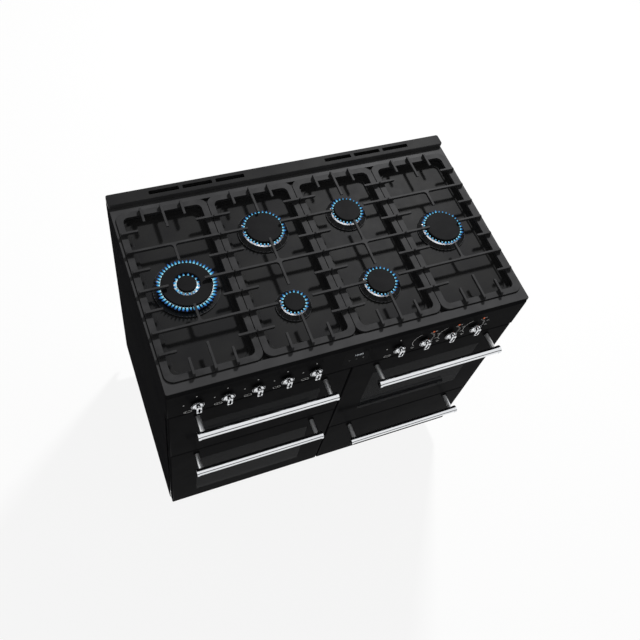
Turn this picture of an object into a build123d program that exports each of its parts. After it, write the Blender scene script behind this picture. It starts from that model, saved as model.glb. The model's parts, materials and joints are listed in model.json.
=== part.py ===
from build123d import *
from math import radians, tan
import os

# Free-standing dual fuel range cooker, in millimetres.
# X runs left to right seen from the front, Y runs front to back, Z is up, and the floor is at Z = 0.
os.makedirs("parts", exist_ok=True)

# Overall sizes
width = 1000.0
body_depth = 600.0
rim_height = 900.0
foot_height = 95.0
sheet = 2.0
fit = 0.3
slip = 0.08

# Hob top and rear upstand
hob_skirt = 19.0
hob_corner = 6.0
ledge_depth = 8.0
ledge_gap = 1.5
well_depth = 12.0
well_corner = 28.0
well_draft = 22.0
well_step = 4.0
well_strip = 8.0
well_step_draft = 35.0
hob_side_margin = 8.0
hob_front_margin = 27.0
hob_rear_margin = 61.0
upstand_height = 15.0
upstand_depth = 37.0
vent_length = 82.0
vent_width = 13.0
vent_pitch = 92.5
vent_side_margin = 245.0
vent_corner = 2.5

# Pan supports
grate_columns = 4
grate_gap = 2.0
grate_corner = 24.0
rail_width = 17.0
rail_thickness = 10.0
grate_foot_height = 2.0
grate_foot_radius = 5.0
grate_foot_row = 3.5
support_rise = 16.0
finger_width = 6.0
finger_depth = 8.0
finger_end_margin = 73.0
finger_nose = 3.0
finger_fillet = 9.0
side_finger_length = 46.0
end_finger_length = 48.0
end_finger_spread = 54.0
middle_finger_length = 78.0
burner_finger_reach = 46.0
single_finger_reach = 68.0

# Burners: place in columns and rows of the hob, cap radius and number of flame ports
burner_row = 2
side_rows = 3
burners = (
    ("wok", -1.5, 0, 65.0, 48),
    ("rapid_left", -0.5, burner_row, 49.0, 34),
    ("auxiliary", -0.5, -burner_row, 27.0, 20),
    ("medium_rear", 0.5, burner_row, 37.0, 26),
    ("medium_front", 0.5, -burner_row, 37.0, 26),
    ("rapid_right", 1.5, 0, 49.0, 34),
)
cup_height = 3.0
cup_margin = 20.0
collar_height = 7.0
collar_margin = 9.0
collar_edge = 1.0
collar_notches = 6
collar_notch_width = 4.0
collar_notch_depth = 5.0
throat_share = 0.4
throat_wall = 3.0
throat_drop = 22.0
crown_height = 9.0
crown_margin = 2.0
crown_wall = 8.0
crown_floor = 3.0
port_width = 2.4
port_height = 5.0
cap_height = 5.0
cap_margin = 1.0
cap_round = 2.0
inner_ring_radius = 26.0
inner_ring_wall = 5.0
inner_ring_rise = 3.0
inner_ports = 16
ring_cap_bore = 33.0
electrode_radius = 2.0
electrode_height = 16.0
electrode_offset = 9.0
electrode_slot = 9.0
electrode_angle = 155.0

# Control panel, clock and knobs
fascia_height = 113.0
fascia_round = 3.0
clock_width = 76.0
clock_height = 64.0
clock_below_rim = 76.0
clock_thickness = 4.0
knob_below_rim = 80.0
knob_left_margin = 75.0
knob_right_margin = 145.5
knob_left_of_clock = 115.0
knob_right_of_clock = 122.0
left_knobs = 5
right_knobs = 4
gas_knobs = 6
knob_gap = 5.0
knob_hub_radius = 13.0
knob_hub_length = 1.0
knob_skirt_radius = 17.0
knob_skirt_length = 4.0
knob_grip_width = 11.0
knob_grip_height = 29.0
knob_grip_length = 14.0
knob_grip_taper = 4.0
knob_bore_depth = 10.0
knob_push = 4.0
spindle_radius = 4.0
spindle_length_inside = 30.0
fascia_hole_radius = 6.0
tap_width = 32.0
tap_height = 34.0

# Oven doors, drawer and handles
door_depth = 36.0
skin_depth = 20.0
skin_front = 4.0
skin_round = 4.0
face_gap = 4.0
seam = 3.0
side_inset = 3.0
left_door_share = 405 / 670
drawer_share = 260 / 670
window_side_margin = 76.75
window_top_margin = 75.0
grill_window_sill = 90.5
left_window_sill = 63.5
right_window_sill = 88.5
window_round = 3.0
liner_inset = 16.0
liner_bottom = 20.0
pane_overlap = 10.0
hinge_in = 10.0
hinge_up = 13.0
hinge_pin_radius = 4.0
hinge_lug = 7.5
hinge_arm_gap = 0.5
hinge_arm_width = 4.0
hinge_arm_radius = 5.0
handle_standoff = 57.0
handle_bar_radius = 10.0
handle_wall = 1.8
handle_cap_radius = 11.0
handle_cap_length = 7.0
handle_end_margin = 58.75
handle_post_inset = 16.0
handle_post_radius = 6.0
handle_collar_radius = 9.0
handle_collar_length = 4.0
handle_drop = 21.0
drawer_side_margin = 27.75
drawer_length = 400.0
drawer_height = 150.0
runner_height = 43.0
runner_flange = 20.0

# Ovens
oven_side_margin = 27.75
oven_length = 430.0
oven_top_margin = 20.0
oven_bottom_margin = 40.0
oven_corner = 18.0
shelf_ledge = 8.0
shelf_ledge_height = 6.0
shelf_rise = 95.0
grill_shelf_rise = 45.0
shelf_wire = 3.0
shelf_bars = 8
element_radius = 3.5
element_drop = 22.0
element_side_margin = 55.0
element_front_margin = 130.0
element_bend = 30.0
fan_radius = 75.0
fan_depth = 22.0
fan_rim = 4.0
fan_blades = 10
fan_gap = 12.0
fan_shaft_radius = 5.0
motor_radius = 42.0
motor_length = 45.0

# Frame and gas supply
rear_recess = 30.0
side_return = 15.0
base_flange = 25.0
foot_inset = 70.0
foot_pad_radius = 22.0
foot_pad_height = 14.0
foot_stem_radius = 9.0
gas_rail_size = 16.0
gas_pipe_radius = 8.0
gas_pipe_margin = 38.0
inlet_radius = 10.48
inlet_length = 24.0
inlet_hole_radius = 12.0
louvre_count = 9
louvre_side_margin = 137.75
louvre_width = 6.0
louvre_pitch = 18.0
terminal_width = 130.0
terminal_height = 90.0
terminal_depth = 22.0
terminal_margin = 170.0
terminal_z = 220.0
gland_radius = 7.0

# Places worked out from the sizes above
handle_reach = handle_standoff + handle_cap_radius
y_back = (body_depth + handle_reach) / 2
y_face = y_back - body_depth
y_middle = (y_face + y_back) / 2
y_frame = y_face + door_depth + face_gap
y_side = y_face + skin_depth + fit
y_rear_panel = y_back - rear_recess - sheet
skirt_z = rim_height - hob_skirt
ledge_z = rim_height - ledge_depth
floor_z = ledge_z - well_depth
support_top = rim_height + support_rise
rail_bottom = ledge_z + grate_foot_height
rail_top = rail_bottom + rail_thickness
grate_depth = body_depth - hob_front_margin - hob_rear_margin
grate_pitch = (width - 2 * hob_side_margin) / grate_columns
grate_width = grate_pitch - grate_gap
finger_pitch = (grate_depth - 2 * finger_end_margin) / (2 * side_rows)
hob_y = y_face + hob_front_margin + grate_depth / 2
vent_group_x = width / 2 - vent_side_margin
grate_column = [index - (grate_columns - 1) / 2 for index in range(grate_columns)]
grate_x = [column * grate_pitch for column in grate_column]
fascia_z = skirt_z - fascia_height
door_top = fascia_z - seam
side_x = width / 2 - sheet
door_width = width / 2 - side_inset - seam / 2
door_x = (width / 2 - side_inset + seam / 2) / 2
front_height = door_top - foot_height
left_split = foot_height + left_door_share * front_height
right_split = foot_height + drawer_share * front_height
window_width = door_width - 2 * window_side_margin
handle_length = door_width - 2 * handle_end_margin
handle_post_spacing = handle_length - 2 * handle_post_inset
drawer_width = door_width - 2 * drawer_side_margin
oven_width = door_width - 2 * oven_side_margin
element_width = oven_width - 2 * element_side_margin
element_length = oven_length - element_front_margin
knob_z = rim_height - knob_below_rim
clock_z = rim_height - clock_below_rim
left_pitch = (width / 2 - knob_left_margin - knob_left_of_clock) / (left_knobs - 1)
right_pitch = (width / 2 - knob_right_margin - knob_right_of_clock) / (right_knobs - 1)
knob_x = [knob_left_margin - width / 2 + i * left_pitch for i in range(left_knobs)]
knob_x += [knob_right_of_clock + i * right_pitch for i in range(right_knobs)]
gas_pipe_x = gas_pipe_margin - width / 2
terminal_x = width / 2 - terminal_margin
louvre_length = door_width - 2 * louvre_side_margin
runner_top = foot_height + sheet + runner_height

# Doors: name, centre X, lower edge, upper edge, height of the window's lower edge above the door's
doors = (
    ("grill_door", -door_x, left_split + seam / 2, door_top, grill_window_sill),
    ("left_oven_door", -door_x, foot_height, left_split - seam / 2, left_window_sill),
    ("right_oven_door", door_x, right_split + seam / 2, door_top, right_window_sill),
)


def front_plane(y):
    """A plane that faces the front at depth y, with X to the right and Z up."""
    return Plane.XZ.offset(-y)


def block(x_span, y_span, z_span, mode=Mode.ADD):
    """A box between three pairs of limits."""
    spans = (x_span, y_span, z_span)
    centre = [(low + high) / 2 for low, high in spans]
    size = [high - low for low, high in spans]
    with Locations(tuple(centre)):
        Box(*size, mode=mode)


def rounded_slab(x, y, z, size_x, size_y, corner, height, draft=0.0, mode=Mode.ADD):
    """A rounded rectangle at height z, extruded up or down."""
    with BuildSketch(Plane.XY.offset(z)) as outline:
        with Locations((x, y)):
            RectangleRounded(size_x, size_y, corner)
    extrude(outline.sketch, amount=height, taper=draft, mode=mode)


def front_slab(x, y, z, size_x, size_z, length, corner=0.0, mode=Mode.ADD):
    """A rectangle that faces the front at depth y, extruded backwards by length."""
    with BuildSketch(front_plane(y)) as outline:
        with Locations((x, z)):
            if corner > 0:
                RectangleRounded(size_x, size_z, corner)
            else:
                Rectangle(size_x, size_z)
    extrude(outline.sketch, amount=-length, mode=mode)


def front_rod(x, y, z, radius, length, mode=Mode.ADD):
    """A round rod that starts at depth y and runs backwards by length."""
    with BuildSketch(front_plane(y)) as outline:
        with Locations((x, z)):
            Circle(radius)
    extrude(outline.sketch, amount=-length, mode=mode)


def side_rod(x, y, z, radius, length, mode=Mode.ADD):
    """A round rod that starts at x and runs to the right by length."""
    with BuildSketch(Plane.YZ.offset(x)) as outline:
        with Locations((y, z)):
            Circle(radius)
    extrude(outline.sketch, amount=length, mode=mode)


def upright_rod(x, y, z, radius, height, mode=Mode.ADD):
    """A round rod that starts at height z and runs up by height."""
    with BuildSketch(Plane.XY.offset(z)) as outline:
        with Locations((x, y)):
            Circle(radius)
    extrude(outline.sketch, amount=height, mode=mode)


def turned(x, y, z, points):
    """A profile of radius and height pairs, turned about an upright axis."""
    with BuildSketch(Plane(origin=(x, y, z), x_dir=(1, 0, 0), z_dir=(0, -1, 0))) as profile:
        Polygon(*points, align=None)
    revolve(profile.sketch, axis=Axis((x, y, z), (0, 0, 1)))


def burner_place(column, row):
    """The centre of a burner on the hob, from its column and row."""
    return column * grate_pitch, hob_y + row * finger_pitch


# Base frame: a folded tray that carries the ovens, with the feet under it
with BuildPart() as base_frame:
    block((-side_x, side_x), (y_frame, y_back - rear_recess), (foot_height, foot_height + sheet))
    for y_edge in (y_frame + sheet, y_rear_panel - 2 * sheet):
        block((-side_x, side_x), (y_edge, y_edge + sheet), (foot_height, foot_height + base_flange))
base_frame.part.label = "base_frame"
export_step(base_frame.part, "parts/base_frame.step")

with BuildPart() as levelling_feet:
    for foot_x in (-width / 2 + foot_inset, width / 2 - foot_inset):
        for foot_y in (y_frame + foot_inset, y_back - rear_recess - foot_inset):
            turned(foot_x, foot_y, 0, (
                (0, 0), (foot_pad_radius, 0), (foot_pad_radius, foot_pad_height / 2),
                (foot_stem_radius, foot_pad_height), (foot_stem_radius, foot_height), (0, foot_height),
            ))
levelling_feet.part.label = "levelling_feet"
export_step(levelling_feet.part, "parts/levelling_feet.step")

# Side panels with a folded return at the back, cut away at the top front for the control panel
for name, side in (("left_side_panel", -1), ("right_side_panel", 1)):
    with BuildPart() as side_panel:
        inner = side * side_x
        outer = side * width / 2
        turned_in = side * (side_x - side_return)
        block(sorted((inner, outer)), (y_frame, y_back), (fascia_z, skirt_z))
        block(sorted((inner, outer)), (y_side, y_back), (foot_height, fascia_z))
        block(sorted((turned_in, inner)), (y_back - sheet, y_back), (foot_height, skirt_z))
    side_panel.part.label = name
    export_step(side_panel.part, f"parts/{name}.step")

# Rear panel, set in from the back edge, with louvres, a hole for the gas inlet and a terminal cover
with BuildPart() as rear_panel:
    block((-side_x, side_x), (y_rear_panel, y_rear_panel + sheet), (foot_height + sheet, skirt_z))
    front_rod(gas_pipe_x, y_rear_panel, knob_z, inlet_hole_radius, sheet, mode=Mode.SUBTRACT)
    louvre_z = (foot_height + skirt_z) / 2
    with BuildSketch(front_plane(y_rear_panel)) as louvres:
        with Locations((-door_x, louvre_z), (door_x, louvre_z)):
            with GridLocations(1, louvre_pitch, 1, louvre_count):
                SlotOverall(louvre_length, louvre_width)
    extrude(louvres.sketch, amount=-sheet, mode=Mode.SUBTRACT)
    y_terminal = y_rear_panel + sheet
    front_slab(terminal_x, y_terminal, terminal_z, terminal_width, terminal_height, terminal_depth,
               corner=2 * sheet)
    front_slab(terminal_x, y_rear_panel, terminal_z, terminal_width - 2 * sheet, terminal_height - 2 * sheet,
               terminal_depth, corner=sheet, mode=Mode.SUBTRACT)
    upright_rod(terminal_x, y_terminal + terminal_depth / 2, terminal_z - terminal_height / 2, gland_radius,
                sheet, mode=Mode.SUBTRACT)
rear_panel.part.label = "rear_panel"
export_step(rear_panel.part, "parts/rear_panel.step")

with BuildPart() as centre_wall:
    block((-sheet / 2, sheet / 2), (y_frame, y_rear_panel), (foot_height + sheet + base_flange, fascia_z))
    foot_y = (y_frame + 2 * sheet, y_rear_panel - 2 * sheet)
    block((-sheet / 2, side_return), foot_y, (foot_height + sheet, foot_height + 2 * sheet))
    block((-sheet / 2, sheet / 2), foot_y, (foot_height + sheet, foot_height + sheet + base_flange))
centre_wall.part.label = "centre_wall"
export_step(centre_wall.part, "parts/centre_wall.step")

# Hob top: a pressed pan with a rim, a ledge for the pan supports and one well under each support
ledge_x_size = grate_columns * grate_pitch - grate_gap + 2 * ledge_gap
ledge_y_size = grate_depth + 2 * ledge_gap
ledge_corner = grate_corner + ledge_gap
well_x_size = grate_width - 2 * rail_width
well_y_size = grate_depth - 2 * rail_width
wall_depth = well_depth - well_step
strip_in = wall_depth * tan(radians(well_draft)) + well_strip
pan_x_size = well_x_size - 2 * strip_in
pan_y_size = well_y_size - 2 * strip_in
pan_corner = well_corner - strip_in
with BuildPart() as hob_top:
    rounded_slab(0, y_middle, skirt_z, width, body_depth, hob_corner, hob_skirt)
    fillet(hob_top.edges().group_by(Axis.Z)[-1], radius=sheet)
    rounded_slab(0, y_middle, skirt_z, width - 2 * sheet, body_depth - 2 * sheet, hob_corner - sheet,
                 hob_skirt - sheet, mode=Mode.SUBTRACT)
    rounded_slab(0, hob_y, ledge_z - sheet, ledge_x_size + 2 * sheet, ledge_y_size + 2 * sheet,
                 ledge_corner + sheet, ledge_depth)
    for x in grate_x:
        rounded_slab(x, hob_y, ledge_z - sheet, well_x_size + 2 * sheet, well_y_size + 2 * sheet,
                     well_corner + sheet, -wall_depth, draft=well_draft)
        rounded_slab(x, hob_y, floor_z + well_step - sheet, pan_x_size + 2 * sheet, pan_y_size + 2 * sheet,
                     pan_corner + sheet, -well_step, draft=well_step_draft)
    rounded_slab(0, hob_y, ledge_z, ledge_x_size, ledge_y_size, ledge_corner, ledge_depth,
                 mode=Mode.SUBTRACT)
    for x in grate_x:
        rounded_slab(x, hob_y, ledge_z, well_x_size, well_y_size, well_corner, -wall_depth,
                     draft=well_draft, mode=Mode.SUBTRACT)
        rounded_slab(x, hob_y, floor_z + well_step, pan_x_size, pan_y_size, pan_corner, -well_step,
                     draft=well_step_draft, mode=Mode.SUBTRACT)
    for name, column, row, cap_radius, ports in burners:
        x, y = burner_place(column, row)
        hole = cap_radius * throat_share + throat_wall + fit
        upright_rod(x, y, floor_z - sheet, hole, sheet, mode=Mode.SUBTRACT)
    for vent_x in (-vent_group_x, vent_group_x):
        rounded_slab(vent_x, y_back - upstand_depth / 2, rim_height - sheet, 2 * vent_pitch + vent_length,
                     vent_width, vent_corner, sheet, mode=Mode.SUBTRACT)
hob_top.part.label = "hob_top"
export_step(hob_top.part, "parts/hob_top.step")

# Rear upstand: a hollow rail with two groups of three vents in its top
with BuildPart() as rear_upstand:
    y_upstand = y_back - upstand_depth / 2
    rounded_slab(0, y_upstand, rim_height, width, upstand_depth, hob_corner, upstand_height)
    fillet(rear_upstand.edges().group_by(Axis.Z)[-1], radius=sheet)
    rounded_slab(0, y_upstand, rim_height, width - 2 * sheet, upstand_depth - 2 * sheet,
                 hob_corner - sheet, upstand_height - sheet, mode=Mode.SUBTRACT)
    with BuildSketch(Plane.XY.offset(rim_height + upstand_height)) as vents:
        with Locations((-vent_group_x, y_upstand), (vent_group_x, y_upstand)):
            with GridLocations(vent_pitch, 1, 3, 1):
                RectangleRounded(vent_length, vent_width, vent_corner)
    extrude(vents.sketch, amount=-sheet, mode=Mode.SUBTRACT)
rear_upstand.part.label = "rear_upstand"
export_step(rear_upstand.part, "parts/rear_upstand.step")


def finger(x, y, dx, dy, length, foot=True):
    """One finger of a pan support: it rises from its rail at (x, y) and runs inwards along (dx, dy)."""
    low = support_top - finger_depth
    if foot:
        points = [(0, rail_top), (0, support_top - finger_nose), (finger_nose, support_top)]
    else:
        points = [(0, low), (0, support_top)]
    points += [(length, support_top), (length, support_top - finger_nose), (length - finger_nose, low)]
    if foot:
        points += [(rail_width + finger_nose, low), (rail_width, rail_top)]
    with BuildSketch(Plane(origin=(x, y, 0), x_dir=(dx, dy, 0), z_dir=(dy, -dx, 0))) as profile:
        Polygon(*points, align=None)
    extrude(profile.sketch, amount=finger_width / 2, both=True)


# Pan supports: a cast frame with fingers, one burner in the outer two and two burners in the inner two
for index, x in enumerate(grate_x):
    burner_rows = [row for name, column, row, cap_radius, ports in burners if column == grate_column[index]]
    single = len(burner_rows) == 1
    bar_rows = (-burner_row, burner_row) if single else (0,)
    with BuildPart() as pan_support:
        rounded_slab(x, hob_y, rail_bottom, grate_width, grate_depth, grate_corner, rail_thickness)
        rounded_slab(x, hob_y, rail_bottom, well_x_size, well_y_size, grate_corner - rail_width / 2,
                     rail_thickness, mode=Mode.SUBTRACT)
        for foot_x in (x - grate_width / 2 + rail_width / 2, x + grate_width / 2 - rail_width / 2):
            for foot_y in (hob_y - grate_foot_row * finger_pitch, hob_y + grate_foot_row * finger_pitch):
                upright_rod(foot_x, foot_y, ledge_z, grate_foot_radius, grate_foot_height)
        for side in (-1, 1):
            edge = x + side * grate_width / 2
            for row in range(-side_rows, side_rows + 1):
                length = side_finger_length
                if row in bar_rows:
                    length = grate_width / 2 + finger_nose
                elif row in burner_rows:
                    length = grate_width / 2 - burner_finger_reach
                finger(edge, hob_y + row * finger_pitch, -side, 0, length)
        for end in (-1, 1):
            edge = hob_y + end * grate_depth / 2
            middle = middle_finger_length
            if not single:
                middle = grate_depth / 2 - burner_row * finger_pitch - burner_finger_reach
            finger(x - end_finger_spread, edge, 0, -end, end_finger_length)
            finger(x, edge, 0, -end, middle)
            finger(x + end_finger_spread, edge, 0, -end, end_finger_length)
            if single:
                finger(x, hob_y + end * burner_row * finger_pitch, 0, -end,
                       burner_row * finger_pitch - single_finger_reach, foot=False)
            else:
                finger(x, hob_y, 0, end, burner_row * finger_pitch - burner_finger_reach, foot=False)
        bar_y = [hob_y + row * finger_pitch for row in bar_rows]
        inner_corners = [
            edge for edge in pan_support.edges().filter_by(Axis.Z)
            if abs(abs(edge.center().X - x) - finger_width / 2) < fit
            and any(abs(abs(edge.center().Y - y) - finger_width / 2) < fit for y in bar_y)
        ]
        fillet(inner_corners, radius=finger_fillet)
    pan_support.part.label = f"pan_support_{index + 1}"
    export_step(pan_support.part, f"parts/pan_support_{index + 1}.step")

# Burners: cups that sit in the wells, crowns with flame ports, and caps
crown_base = cup_height + collar_height
crown_top = crown_base + crown_height
cap_top = crown_top + cap_height


def electrode_place(column, row, cap_radius):
    """Where the spark electrode stands beside a burner."""
    x, y = burner_place(column, row)
    beside = Vector(cap_radius + electrode_offset, 0).rotate(Axis.Z, electrode_angle)
    return x + beside.X, y + beside.Y


def electrode_notch(column, row, cap_radius):
    """A radial notch that leaves room for the spark electrode."""
    x, y = burner_place(column, row)
    start = cap_radius + crown_margin + fit
    length = cup_margin + electrode_slot
    with BuildSketch(Plane.XY.offset(floor_z)) as notch:
        with Locations(Location((x, y), electrode_angle)):
            with Locations((start + length / 2, 0)):
                Rectangle(length, electrode_slot)
    extrude(notch.sketch, amount=cap_top, mode=Mode.SUBTRACT)


with BuildPart() as burner_cups:
    for name, column, row, cap_radius, ports in burners:
        x, y = burner_place(column, row)
        throat = cap_radius * throat_share
        outer = cap_radius + cup_margin
        collar = cap_radius + collar_margin
        turned(x, y, floor_z, (
            (throat, -throat_drop), (throat + throat_wall, -throat_drop), (throat + throat_wall, 0),
            (outer, 0), (outer, cup_height / 2), (outer - cup_height / 2, cup_height),
            (collar, cup_height), (collar, crown_base - collar_edge), (collar - collar_edge, crown_base),
            (throat, crown_base),
        ))
        with BuildSketch(Plane.XY.offset(floor_z + cup_height)) as notches:
            with Locations((x, y)):
                with PolarLocations(collar, collar_notches):
                    Rectangle(2 * collar_notch_depth, collar_notch_width)
        extrude(notches.sketch, amount=collar_height, mode=Mode.SUBTRACT)
        electrode_notch(column, row, cap_radius)
burner_cups.part.label = "burner_cups"
export_step(burner_cups.part, "parts/burner_cups.step")

with BuildPart() as burner_crowns:
    for name, column, row, cap_radius, ports in burners:
        x, y = burner_place(column, row)
        throat = cap_radius * throat_share
        if name == "wok":
            throat = inner_ring_radius - inner_ring_wall
        outer = cap_radius + crown_margin
        turned(x, y, floor_z, (
            (throat, crown_base), (outer, crown_base), (outer, crown_top), (outer - crown_wall, crown_top),
            (outer - crown_wall, crown_base + crown_floor), (throat, crown_base + crown_floor),
        ))
        with BuildSketch(Plane.XY.offset(floor_z + crown_top)) as slots:
            with Locations((x, y)):
                with PolarLocations(outer - crown_wall / 2, ports):
                    Rectangle(2 * crown_wall, port_width)
        extrude(slots.sketch, amount=-port_height, mode=Mode.SUBTRACT)
        if name == "wok":
            inner_top = crown_top + inner_ring_rise
            turned(x, y, floor_z, (
                (throat, crown_base), (inner_ring_radius, crown_base),
                (inner_ring_radius, inner_top), (throat, inner_top),
            ))
            with BuildSketch(Plane.XY.offset(floor_z + inner_top)) as slots:
                with Locations((x, y)):
                    with PolarLocations(inner_ring_radius - inner_ring_wall / 2, inner_ports):
                        Rectangle(2 * inner_ring_wall, port_width)
            extrude(slots.sketch, amount=-port_height, mode=Mode.SUBTRACT)
burner_crowns.part.label = "burner_crowns"
export_step(burner_crowns.part, "parts/burner_crowns.step")


def cap(x, y, z, bore, radius):
    """A burner cap with rounded edges, flat underneath, with an optional bore."""
    points = [(bore, 0), (radius - cap_round, 0), (radius, cap_round), (radius, cap_height - cap_round)]
    points += [(radius - cap_round, cap_height)]
    if bore > 0:
        points += [(bore + cap_round, cap_height), (bore, cap_height - cap_round)]
    else:
        points += [(0, cap_height)]
    turned(x, y, z, points)


with BuildPart() as burner_caps:
    for name, column, row, cap_radius, ports in burners:
        x, y = burner_place(column, row)
        radius = cap_radius + cap_margin
        if name == "wok":
            cap(x, y, floor_z + crown_top, ring_cap_bore, radius)
            cap(x, y, floor_z + crown_top + inner_ring_rise, 0, inner_ring_radius - cap_margin)
        else:
            cap(x, y, floor_z + crown_top, 0, radius)
burner_caps.part.label = "burner_caps"
export_step(burner_caps.part, "parts/burner_caps.step")

with BuildPart() as burner_electrodes:
    for name, column, row, cap_radius, ports in burners:
        x, y = electrode_place(column, row, cap_radius)
        upright_rod(x, y, floor_z, electrode_radius, electrode_height)
burner_electrodes.part.label = "burner_electrodes"
export_step(burner_electrodes.part, "parts/burner_electrodes.step")

# Control panel: a folded front, open at the back, with holes for the knobs and the clock
with BuildPart() as control_panel:
    fascia_middle = (fascia_z + skirt_z) / 2
    fascia_depth = y_frame - y_face
    front_slab(0, y_face, fascia_middle, width, fascia_height, fascia_depth)
    fillet(control_panel.edges().group_by(Axis.Y)[0], radius=fascia_round)
    front_slab(0, y_face + sheet, fascia_middle, width - 2 * sheet, fascia_height - 2 * sheet,
               fascia_depth - sheet, mode=Mode.SUBTRACT)
    front_slab(0, y_face + sheet, clock_z, clock_width + 2 * sheet, clock_height + 2 * sheet,
               clock_thickness)
    front_slab(0, y_face, clock_z, clock_width, clock_height, clock_thickness, mode=Mode.SUBTRACT)
    for x in knob_x:
        front_rod(x, y_face, knob_z, fascia_hole_radius, sheet, mode=Mode.SUBTRACT)
control_panel.part.label = "control_panel"
export_step(control_panel.part, "parts/control_panel.step")

with BuildPart() as clock_glass:
    front_slab(0, y_face, clock_z, clock_width - 2 * fit, clock_height - 2 * fit, clock_thickness)
clock_glass.part.label = "clock_glass"
export_step(clock_glass.part, "parts/clock_glass.step")

# Gas taps, oven switches and the gas rail behind the control panel
y_panel_back = y_face + sheet
tap_length = y_frame - y_panel_back
spindle_end = y_face + spindle_length_inside
bore_length = spindle_end + knob_push + 2 * sheet - y_panel_back
for name, columns in (("gas_taps", knob_x[:gas_knobs]), ("oven_switches", knob_x[gas_knobs:])):
    with BuildPart() as controls:
        for x in columns:
            front_slab(x, y_panel_back, knob_z, tap_width, tap_height, tap_length, corner=sheet)
            front_rod(x, y_panel_back, knob_z, spindle_radius + slip, bore_length, mode=Mode.SUBTRACT)
    controls.part.label = name
    export_step(controls.part, f"parts/{name}.step")

with BuildPart() as gas_rail:
    rail_y = (y_frame, y_frame + gas_rail_size)
    rail_z = (knob_z - gas_rail_size / 2, knob_z + gas_rail_size / 2)
    block((gas_pipe_x - gas_rail_size / 2, knob_x[gas_knobs - 1] + tap_width / 2), rail_y, rail_z)
    inlet_y = y_rear_panel + 2 * sheet
    front_rod(gas_pipe_x, rail_y[1], knob_z, gas_pipe_radius, inlet_y - rail_y[1])
    front_rod(gas_pipe_x, inlet_y, knob_z, inlet_radius, inlet_length)
gas_rail.part.label = "gas_rail"
export_step(gas_rail.part, "parts/gas_rail.step")

# Knobs: a skirt with a raised bar grip, on a spindle that pushes in, or on a stem of its own
skirt_y = y_face - knob_gap - knob_hub_length
grip_y = skirt_y - knob_skirt_length
spindle_tip = y_face - knob_gap - knob_bore_depth + fit
for number, x in enumerate(knob_x):
    is_gas = number < gas_knobs
    name = f"gas_knob_{number + 1}" if is_gas else f"oven_knob_{number + 1 - gas_knobs}"
    with BuildPart() as knob:
        front_rod(x, grip_y, knob_z, knob_skirt_radius, knob_skirt_length)
        chamfer(knob.edges().group_by(Axis.Y)[0], length=sheet)
        front_rod(x, skirt_y, knob_z, knob_hub_radius, knob_hub_length)
        with BuildSketch(front_plane(grip_y)) as grip:
            with Locations((x, knob_z)):
                RectangleRounded(knob_grip_width, knob_grip_height, knob_grip_width / 2 - fit)
        extrude(grip.sketch, amount=knob_grip_length, taper=knob_grip_taper)
        fillet(knob.edges().group_by(Axis.Y)[0], radius=sheet)
        if is_gas:
            front_rod(x, y_face - knob_gap - knob_bore_depth, knob_z, spindle_radius + slip,
                      knob_bore_depth, mode=Mode.SUBTRACT)
        else:
            front_rod(x, y_face - knob_gap, knob_z, spindle_radius, knob_gap + spindle_length_inside)
    knob.part.label = name
    export_step(knob.part, f"parts/{name}.step")

for number, x in enumerate(knob_x[:gas_knobs]):
    with BuildPart() as spindle:
        front_rod(x, spindle_tip, knob_z, spindle_radius, spindle_end - spindle_tip)
    spindle.part.label = f"tap_spindle_{number + 1}"
    export_step(spindle.part, f"parts/tap_spindle_{number + 1}.step")


def handle(name, x, top):
    """A tube handle with end caps on two posts, near the upper edge of a door or drawer."""
    y_bar = y_face - handle_standoff
    z_bar = top - handle_drop
    with BuildPart() as posts:
        for post_x in (x - handle_post_spacing / 2, x + handle_post_spacing / 2):
            front_rod(post_x, y_bar, z_bar, handle_post_radius, handle_standoff)
            front_rod(post_x, y_face - handle_collar_length, z_bar, handle_collar_radius,
                      handle_collar_length)
        side_rod(x - handle_length / 2, y_bar, z_bar, handle_bar_radius + slip, handle_length,
                 mode=Mode.SUBTRACT)
    with BuildPart() as pull:
        side_rod(x - handle_length / 2, y_bar, z_bar, handle_bar_radius, handle_length)
        for start in (x - handle_length / 2, x + handle_length / 2 - handle_cap_length):
            side_rod(start, y_bar, z_bar, handle_cap_radius, handle_cap_length)
        side_rod(x - handle_length / 2 + handle_cap_length, y_bar, z_bar, handle_bar_radius - handle_wall,
                 handle_length - 2 * handle_cap_length, mode=Mode.SUBTRACT)
        add(posts.part)
    pull.part.label = name
    export_step(pull.part, f"parts/{name}.step")


def hinge_lines(x, bottom):
    """The two hinges of a door: the outer face of each side and the direction towards the middle."""
    half = door_width / 2
    return ((x - half, 1), (x + half, -1)), y_face + hinge_in, bottom + hinge_up


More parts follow.
